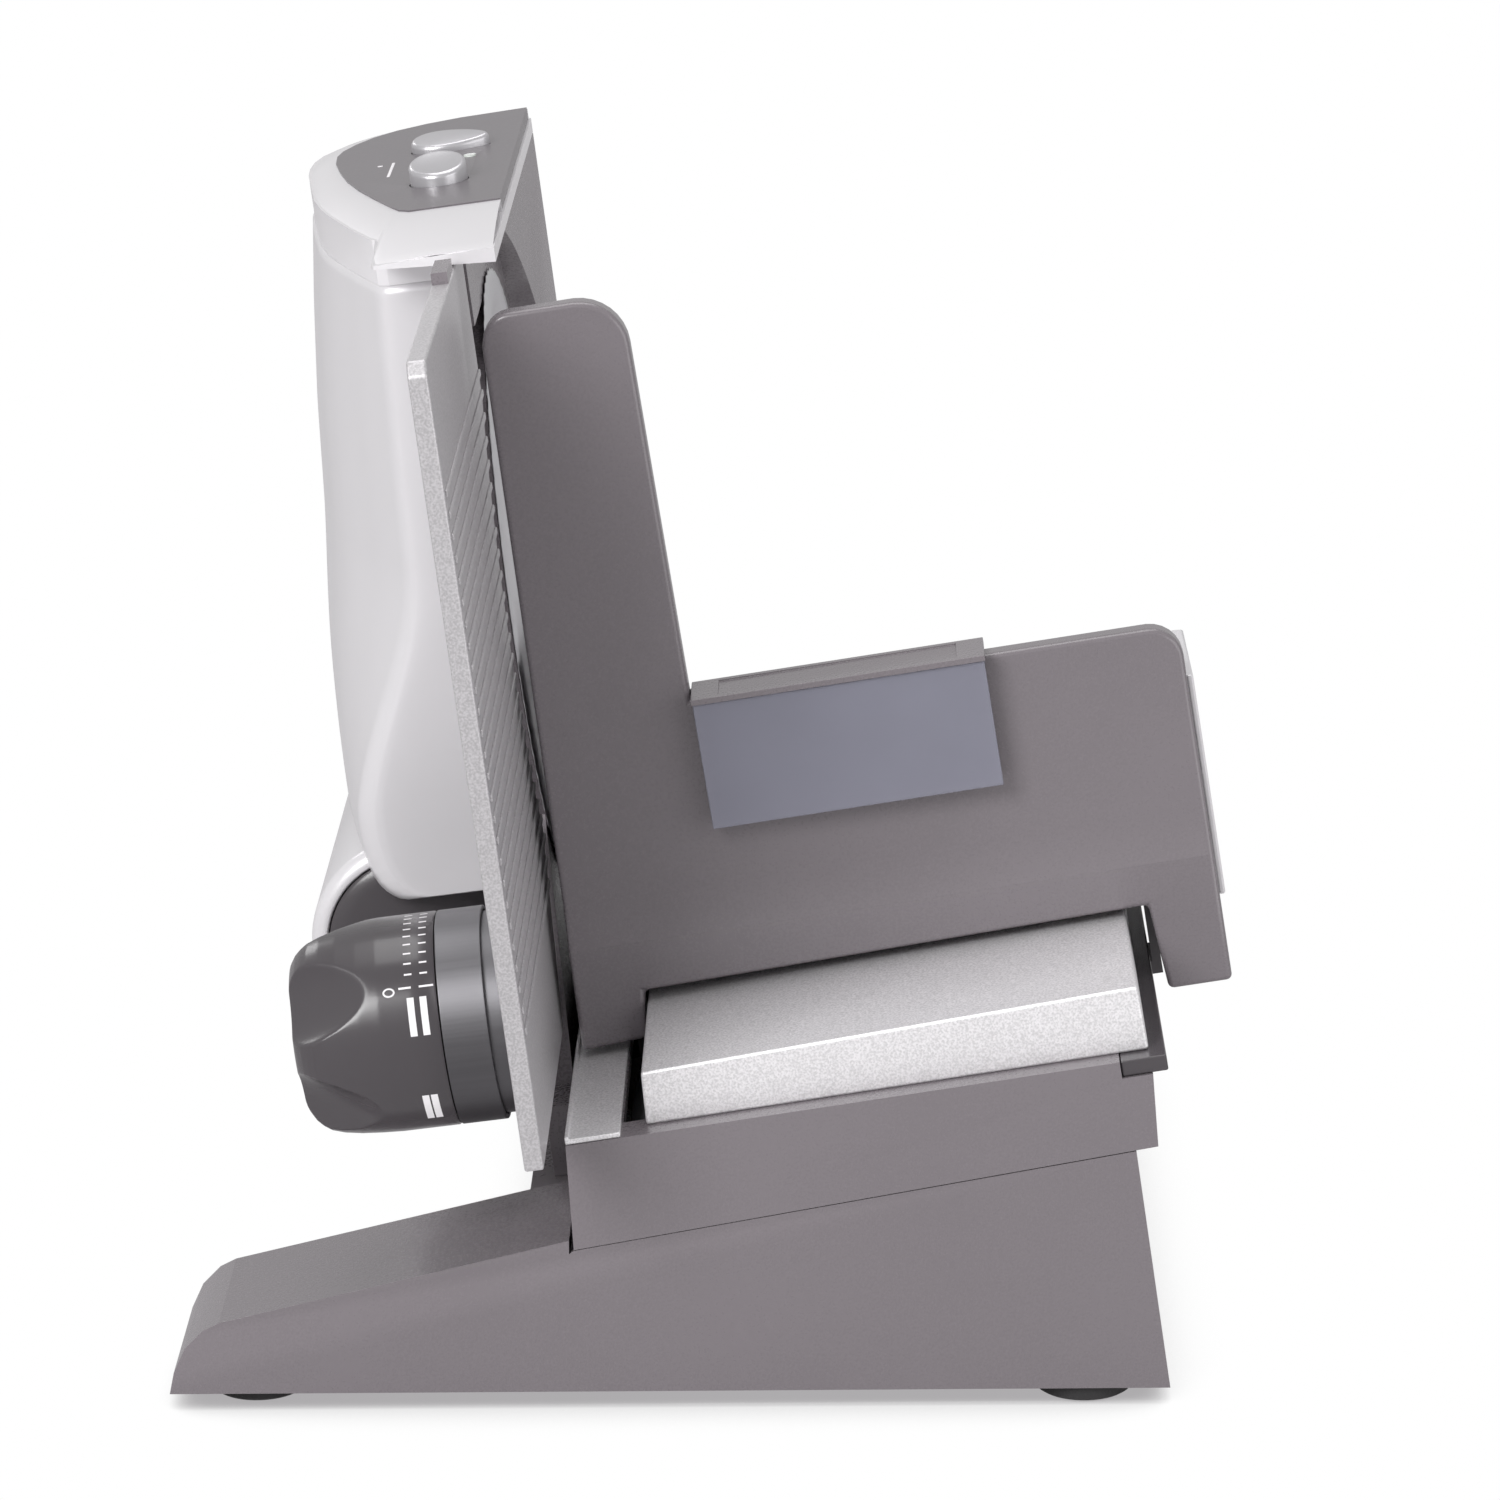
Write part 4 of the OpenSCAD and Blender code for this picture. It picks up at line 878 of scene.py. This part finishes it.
@dataclass
class MotorHousing:
    """Pearl housing, hood, pod and cap."""

    plate: float = -8.6
    near: float = 126.0
    far: float = 325.0
    top: float = 266.0
    low: float = 102.0
    bulge: float = 66.1
    hood_bulge: float = 49.4
    hood_rim: float = 279.7
    panel_up: float = 283.5
    near_share: float = 0.31
    widest: float = 0.76
    bend: float = 8.0
    round_off: tuple[tuple[float, float], ...] = (
        (0.0, 13.0), (0.5, 10.8), (1.5, 9.0), (3.5, 6.6), (6.0, 4.7), (9.5, 3.1), (14.0, 2.0), (20.0, 1.1),
        (30.0, 0.0))
    pod: tuple[float, float, float] = (-48.0, 150.0, 55.0)
    panel: tuple[tuple[float, float], ...] = (
        (-17, 175.4), (-20.4, 171.8), (-23.4, 164), (-30, 144.5), (-35.9, 125.7), (-41.2, 105.5), (-45, 85.5),
        (-47.6, 68), (-48.2, 55), (-47, 45.5), (-43.6, 35), (-38.5, 25), (-31.4, 16.4), (-22, 10), (-11, 5.6))

    def plan(self) -> np.ndarray:
        """Plan of the housing: share of its bulge and of its depth, its corners cut twice to round them.

        Returns:
            Array of points by share and depth, from the near end to the far end.
        """
        share = [0, 0.31, 0.38, 0.46, 0.55, 0.628, 0.715, 0.794, 0.868, 0.916, 0.965, 0.99, 1, 0.99, 0.95, 0.87,
                 0.74, 0.57, 0.4, 0]
        depth = [0, 0, 0.012, 0.07, 0.135, 0.2, 0.27, 0.344, 0.44, 0.537, 0.64, 0.7, 0.76, 0.82, 0.875, 0.925,
                 0.965, 0.99, 1, 1]
        line = np.stack([share, depth], -1)
        for _ in range(3):
            step = np.diff(line, axis=0)
            cut = np.stack([line[:-1] + step * 0.25, line[:-1] + step * 0.75], 1).reshape(-1, 2)
            line = np.concatenate([line[:1], cut, line[-1:]])
        return line

    def shell(self) -> np.ndarray:
        """The housing's skin: the plan as wide as each height allows, boxier and rounded off below.

        Below, the wall follows the line of sight of the widest point, so that its near corner stands out.
        The lower edge climbs towards the near end.

        Returns:
            Grid of points from the top to the closed bottom.
        """
        line = self.plan()
        knots = np.array([(266, 50.5), (240, 54.1), (208, 57.8), (173, 60.6), (140, 62.9), (107, 65.7),
                          (92, self.bulge), (50, self.bulge)])
        away = self.near + line[:, 1] * (self.far - self.near)
        lowest = np.interp(away, [126, 150, 190, 255, 325], [76.0, 69.0, 60.0, 55.0, 55.0])[None, :]
        high = np.linspace(self.top, self.low, 56)
        smooth = np.interp(-high, -knots[:, 0], knots[:, 1])
        smooth[3:-3] = np.convolve(smooth, np.array([1, 2, 3, 2, 1]) / 9, "same")[3:-3]
        fall = self.low - (self.low - lowest) * np.linspace(0.0, 1.0, 40)[1:, None] ** 0.7
        up = np.concatenate([high[:, None] + 0 * lowest, fall, lowest, lowest])
        width = np.interp(-up, -knots[:, 0], knots[:, 1])
        width[:len(high)] = smooth[:, None]
        reach = width * line[None, :, 0]
        wall = self.boxy(line, away)[None, :]
        share = np.clip((178.0 - up) / 85.0, 0.0, 1.0)
        reach = reach + share ** 2 * (3 - 2 * share) * np.maximum(wall - reach, 0.0)
        over = np.concatenate([(up - lowest)[:-2], 0 * lowest, 0 * lowest])
        inset = np.interp(over, *np.array(self.round_off).T)
        inset[-2:] = [[20.0], [99.0]]
        reach = np.where(inset > 0, np.maximum(np.minimum(reach, self.bulge) - inset, 0.0), reach)
        across = self.plate - 0.05 - reach
        return BLADE.place(across, away[None, :] + 0 * across, up)

    def boxy(self, line: np.ndarray, away: np.ndarray) -> np.ndarray:
        """Reach of the low wall: a flat near face, a rounded corner and a wall that widens to the bulge.

        Args:
            line: The plan.
            away: Its distances away, in millimetres.

        Returns:
            Reach from the plate at each point of the plan, 0 beyond the widest one.
        """
        bend = np.clip((away - self.near) / self.bend, 0.0, 1.0)
        widening = 1 - (1 - np.clip(line[:, 1] / self.widest, 0.0, 1.0)) ** 1.3
        wall = (np.minimum(line[:, 0] / self.near_share, 1.0) * 41.5 + self.bend * np.sqrt(1 - (1 - bend) ** 2)
                + 16.6 * widening)
        return np.where(line[:, 1] < self.widest, np.minimum(wall, self.bulge * line[:, 0].max()), 0.0)

    def turned(self, profile: tuple[tuple[float, float], ...]) -> np.ndarray:
        """A closed profile of radius and depth turned about the pod's axis.

        Args:
            profile: Radii and depths from the pod's near end, in millimetres.

        Returns:
            Rows of rings, for join_grids.
        """
        turn = np.linspace(0, 2 * np.pi, 121)[:-1]
        radius, depth = (np.array(values)[:, None] for values in zip(*profile))
        p, y, q = self.pod
        return BLADE.place(p + radius * np.cos(turn), y + depth + 0 * turn, q + radius * np.sin(turn))

    @staticmethod
    def thin(corner: Vector) -> Vector:
        """Thins the visor's near edge and drops its left tip."""
        p, y, q = BLADE.read(corner)
        if y > 112.0 or q < 268.0:
            return corner
        left = min(max((11.6 - p) / 38.0, 0.0), 1.0)
        drop = 3.4 * left ** 2
        return Vector(BLADE.spot(p, y, 280.0 - drop if q > 279.0 else min(275.6, 279.0 - drop)))

    def swell(self) -> np.ndarray:
        """The hood's top: a rounded slope from its rim and the visor's edge up to the panel's outline.

        Returns:
            Rows from the rim to the panel, closed below.
        """
        line = self.plan()[6:]
        up = self.hood_rim
        rim = np.stack([self.plate - self.hood_bulge * line[:, 0], self.near + 0.6 + line[:, 1] * 198.4,
                        np.full(len(line), up)], -1)
        visor = [(11.0, 91.6, up), (-7.0, 97.4, 279.0), (-25.2, 103.6, 276.4), (-26.0, 110.0, 277.6),
                 (-25.6, 128.0, up)]
        rim = np.concatenate([visor, rim[rim[:, 0] < -25.6], [(-20.0, 324.4, up), (10.6, 324.4, up)]])
        top = np.array(self.panel)
        top[:, 1] = self.far - top[:, 1]
        top = np.concatenate([[(10.8, 151.4)], top, [(10.8, 323.0)]])
        rim_at = np.concatenate([[0, 0.09, 0.17, 0.19, 0.24], np.linspace(0.25, 0.93, len(rim) - 7), [0.95, 1]])
        top_at = np.concatenate([[0, 0.17], np.linspace(0.2, 0.93, len(top) - 4), [0.95, 1.0]])
        t = np.linspace(0, 1, 161)
        low = np.stack([np.interp(t, rim_at, rim[:, i]) for i in range(3)], -1)
        high = np.stack([*(np.interp(t, top_at, top[:, i]) for i in range(2)), self.panel_up + 0 * t], -1)
        rows = []
        for share in np.linspace(0.0, 1.0, 11):
            row = low + (high - low) * share
            row[:, 2] = low[:, 2] + (high[:, 2] - low[:, 2]) * math.sin(share * math.pi / 2) ** 0.9
            rows.append(row)
        rows.append(high - np.array([0.0, 0.0, 3.8]))
        rows.append(low - np.array([0.0, 0.0, 0.4]))
        grid = np.stack(rows)
        return BLADE.place(grid[..., 0], grid[..., 1], grid[..., 2])

    def build(self, shop: Workshop) -> None:
        """Adds the smooth housing and rounds hood, panel, pod and cap."""
        shell = grid_piece("motor_shell_smooth", self.shell())
        wall = shell.modifiers.new("wall", "SOLIDIFY")
        wall.thickness = 0.0024
        wall.offset = -1.0
        shop.add(shell, "body", PEARL, "pearl_plastic", ("motor_shell",))
        shop.soften("hood", "body", "pearl_plastic", 1.6, 4, self.thin)
        shop.add(grid_piece("hood_top", self.swell(), (True, False)), "body", PEARL, "pearl_plastic")
        shop.soften("control_panel", "body", "warm_grey_plastic", 0.9)
        arc = np.radians(np.linspace(0, 90, 7))
        rim = [(28.4 + 4.6 * math.sin(a), 4.6 - 4.6 * math.cos(a)) for a in arc]
        pod = ((27.6, 6.0), (27.6, 0.9), (28.0, 0.2), *rim, (33.0, 40.0), (33.0, 144.0), (32.4, 147.2),
               (30.0, 148.0), (0.0, 148.0), (0.0, 145.6), (30.0, 145.6), (30.6, 140.0), (30.6, 7.0),
               (27.6, 6.0))
        cap = ((0.0, -1.6), (12.0, -1.5), (22.0, -1.1), (26.2, -0.5), (27.2, 0.4), (27.3, 2.0), (27.3, 5.0),
               (24.0, 5.0), (24.0, 2.0), (0.0, 1.6))
        for name, profile, finish, slot in (("motor_pod", pod, PEARL, "pearl_plastic"),
                                            ("pod_cap", cap, CHARCOAL, "charcoal_plastic")):
            shop.add(join_grids(name + "_turned", [self.turned(profile)]), "body", finish, slot, (name,))
        marks = [bar_grid(BLADE, (-28.6, 217.0, 283.8), (-27.6, 243.0, 284.12), 0.15),
                 bar_grid(BLADE, (-33.0, 238.8, 283.8), (-31.4, 240.4, 284.12), 0.15)]
        shop.add(join_grids("panel_marks", marks), "body", PRINT, "warm_grey_plastic")


@dataclass
class Buttons:
    """Round and leaf-shaped buttons, their tops sloped towards the operator."""

    across: float = -10.6
    stem_across: float = -13.6
    low: float = 281.4

    def cap(self, outline: np.ndarray, away: float, middle: float, slope: float, dish: float) -> np.ndarray:
        """A cap over an outline: a straight side, a rounded rim and a sloped top that is dished or domed.

        At a share s of the outline the height is the sloped plane, less the rim's rounding near the
        outline, less the dish times one minus s squared.

        Args:
            outline: Points of the outline, across and away from its middle, in millimetres.
            away: Its middle away.
            middle: Height of the plane over the middle.
            slope: Slope of the plane, in degrees.
            dish: Depth of the dish; negative for a dome.

        Returns:
            Rows of rings, for join_grids.
        """
        turn = np.linspace(0, np.pi / 2, 7)
        rim = 1.5
        inner = np.linspace(0.8, 0.0, 12)
        share = np.concatenate([1 - rim / np.abs(outline).max() * (1 - np.cos(turn)), inner])[:, None]
        drop = np.concatenate([rim * (1 - np.sin(turn)), 0.0 * inner])[:, None]
        rise = math.tan(math.radians(slope)) * outline[None, :, 1]
        top = middle + rise * share - drop - dish * (1 - np.minimum(share / 0.86, 1.0) ** 2)
        share = np.concatenate([[[0.0], [1.0]], share])
        height = np.concatenate([np.full((2, len(outline)), self.low), top])
        return BLADE.place(self.across + share * outline[None, :, 0], away + share * outline[None, :, 1],
                           height)

    def stem(self, away: float) -> np.ndarray:
        """The button's round stem, from the switch to the cap."""
        turn = np.linspace(0, 2 * np.pi, 33)[:-1]
        radius = np.array([0.0, 3.0, 3.0, 4.2, 4.2, 3.0, 3.0, 0.0])
        up = np.array([271.0, 271.0, 274.6, 274.6, 276.6, 276.6, 281.5, 281.5])
        return BLADE.place(self.stem_across + radius[:, None] * np.cos(turn),
                           away + radius[:, None] * np.sin(turn), up[:, None] + 0 * turn)

    def build(self, shop: Workshop) -> None:
        """Stands both shaped buttons in for the plain ones."""
        turn = np.linspace(0, 2 * np.pi, 97)[:-1]
        disc = np.stack([9.0 * np.cos(turn), 9.0 * np.sin(turn)], -1)
        leaf = np.stack([12.5 * np.cos(turn), 7.4 * np.sin(turn) * (0.84 - 0.24 * np.cos(turn))], -1)
        for name, outline, away, middle, slope, dish in (
                ("round", disc, 196.0, 290.2, 15.0, 0.7), ("long", leaf, 258.0, 287.8, 13.0, -0.5)):
            cap = self.cap(outline, away, middle, slope, dish)
            piece = join_grids(name + "_button_shaped", [cap, self.stem(away)])
            shop.add(piece, name + "_push", BUTTON_METAL, "brushed_metal", (name + "_button",))


@dataclass
class Studio:
    """Camera, pale floor, world and soft lamps."""

    azimuth: float = 0.9
    elevation: float = 15.0
    roll: float = 0.7
    lens: float = 150.0
    stand: tuple[float, float, float] = (52.35, -1716.17, 658.74)
    mirrored: tuple[float, float, float, float] = (0.50, 0.49, 0.50, 1.0)

    def camera(self) -> None:
        """Puts the camera where the photograph was taken from."""
        az, el, roll = (math.radians(v) for v in (self.azimuth, self.elevation, self.roll))
        ahead = np.array([-math.sin(az) * math.cos(el), math.cos(az) * math.cos(el), -math.sin(el)])
        side = np.array([math.cos(az), math.sin(az), 0.0])
        up = np.cross(side, ahead)
        right = math.cos(roll) * side - math.sin(roll) * up
        over = math.sin(roll) * side + math.cos(roll) * up
        data = bpy.data.cameras.new("camera")
        data.lens = self.lens
        data.sensor_width = 36.0
        data.clip_end = 20.0
        cam = bpy.data.objects.new("camera", data)
        bpy.context.scene.collection.objects.link(cam)
        place = (np.array(self.stand) - np.array([MIDDLE_X, MIDDLE_Y, 0.0])) / 1000.0
        cam.matrix_world = Matrix([(*row, place[i]) for i, row in enumerate(np.stack([right, over, -ahead], 1))]
                                  + [(0.0, 0.0, 0.0, 1.0)])
        bpy.context.scene.camera = cam

    def floor(self) -> None:
        """Adds a pale floor that the camera sees glowing white, with a painted contact shadow darkened from
        ambient occlusion.
        """
        reach = np.array([-3.0, 3.0])
        x, y = np.meshgrid(reach, reach)
        floor = grid_piece("floor", np.stack([x, y, np.full_like(x, -0.0002)], -1))
        graph = Graph("pale_floor")
        graph.set(Base_Color=(0.9, 0.9, 0.9, 1.0), Roughness=0.6)
        path = graph.tree.nodes.new("ShaderNodeLightPath")
        # Painted contact shadow: ambient occlusion darkens the glowing floor's white near the object.
        shade_of = graph.node("ShaderNodeAmbientOcclusion", {"samples": 16}, {"Distance": 0.05}, "AO")
        painted_contact_shadow = ((shade_of - 0.15) * 1.9).clamp()
        tone = graph.blend(painted_contact_shadow, (0.42, 0.41, 0.42), (1.0, 1.0, 1.0))
        glow = graph.node("ShaderNodeEmission", {}, {"Color": tone, "Strength": 1.0})
        seen = Signal(graph, path.outputs["Is Camera Ray"])
        glossy = Signal(graph, path.outputs["Is Glossy Ray"])
        through = Signal(graph, path.outputs["Is Transmission Ray"])
        plain = Signal(graph, graph.shader.outputs[0])
        dim = graph.node("ShaderNodeEmission", {}, {"Color": self.mirrored, "Strength": 1.0})
        low = graph.node("ShaderNodeMixShader", {}, {0: glossy, 1: plain, 2: dim})
        mixed = graph.node("ShaderNodeMixShader", {}, {0: (seen + through).clamp(), 1: low, 2: glow})
        graph.tree.links.new(mixed.socket, graph.tree.nodes["Material Output"].inputs["Surface"])
        floor.data.materials.append(graph.material)

    def lamp(self, name: str, place: tuple, aim: tuple, size: float, power: float) -> None:
        """One square soft lamp.

        Args:
            name: Its name.
            place: Where it hangs, in metres.
            aim: What it points at.
            size: Edge of its square.
            power: Watts.
        """
        data = bpy.data.lights.new(name, "AREA")
        data.size = size
        data.energy = power
        lamp = bpy.data.objects.new(name, data)
        bpy.context.scene.collection.objects.link(lamp)
        back = np.array(place, float) - np.array(aim, float)
        back /= np.linalg.norm(back)
        side = np.cross([0.0, 0.0, 1.0], back)
        side = side / np.linalg.norm(side) if np.linalg.norm(side) > 1e-6 else np.array([1.0, 0.0, 0.0])
        up = np.cross(back, side)
        lamp.matrix_world = Matrix([(*row, place[i]) for i, row in enumerate(np.stack([side, up, back], 1))]
                                   + [(0.0, 0.0, 0.0, 1.0)])

    def world(self) -> None:
        """A soft grey surround that the camera sees as white, also through clear pieces."""
        world = bpy.data.worlds.new("surround")
        bpy.context.scene.world = world
        world.use_nodes = True
        tree = world.node_tree
        back = tree.nodes["Background"]
        path = tree.nodes.new("ShaderNodeLightPath")
        total = tree.nodes.new("ShaderNodeMath")
        total.operation = "ADD"
        total.use_clamp = True
        tree.links.new(path.outputs["Is Camera Ray"], total.inputs[0])
        tree.links.new(path.outputs["Is Transmission Ray"], total.inputs[1])
        level = tree.nodes.new("ShaderNodeMapRange")
        level.inputs["To Min"].default_value = 0.55
        level.inputs["To Max"].default_value = 1.0
        tree.links.new(total.outputs[0], level.inputs["Value"])
        tree.links.new(level.outputs[0], back.inputs["Strength"])
        back.inputs["Color"].default_value = (1.0, 1.0, 1.0, 1.0)

    def build(self) -> None:
        """Sets the whole stage."""
        self.camera()
        self.floor()
        self.world()
        for name, place, aim_up, size, power in (
                ("key", (-1.0, -1.5, 1.2), 0.15, 0.9, 29.0), ("fill", (1.4, -1.2, 0.5), 0.1, 1.4, 11.0),
                ("top", (0.0, 0.3, 1.9), 0.1, 1.2, 13.0), ("back", (-1.3, 1.6, 1.45), 0.15, 0.6, 4.0)):
            self.lamp(name, place, (0.0, 0.0, aim_up), size, power)
        bpy.context.scene.view_settings.view_transform = "Standard"


def main() -> None:
    """Builds the stage, dresses every CAD node and adds the detailed pieces."""
    logging.basicConfig(level=logging.INFO, format="%(name)s: %(message)s")
    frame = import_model()
    Studio().build()
    paint = Paintshop()
    for name, node in frame["nodes"].items():
        paint.dress(node, FINISHES[name])
    shop = Workshop(frame, paint)
    for part in (Chassis(), Carriage(), FoodHolder(), Blade(), StopPlate(), ThicknessKnob(), MotorHousing(),
                 Buttons()):
        part.build(shop)


if __name__ == "__main__":
    main()
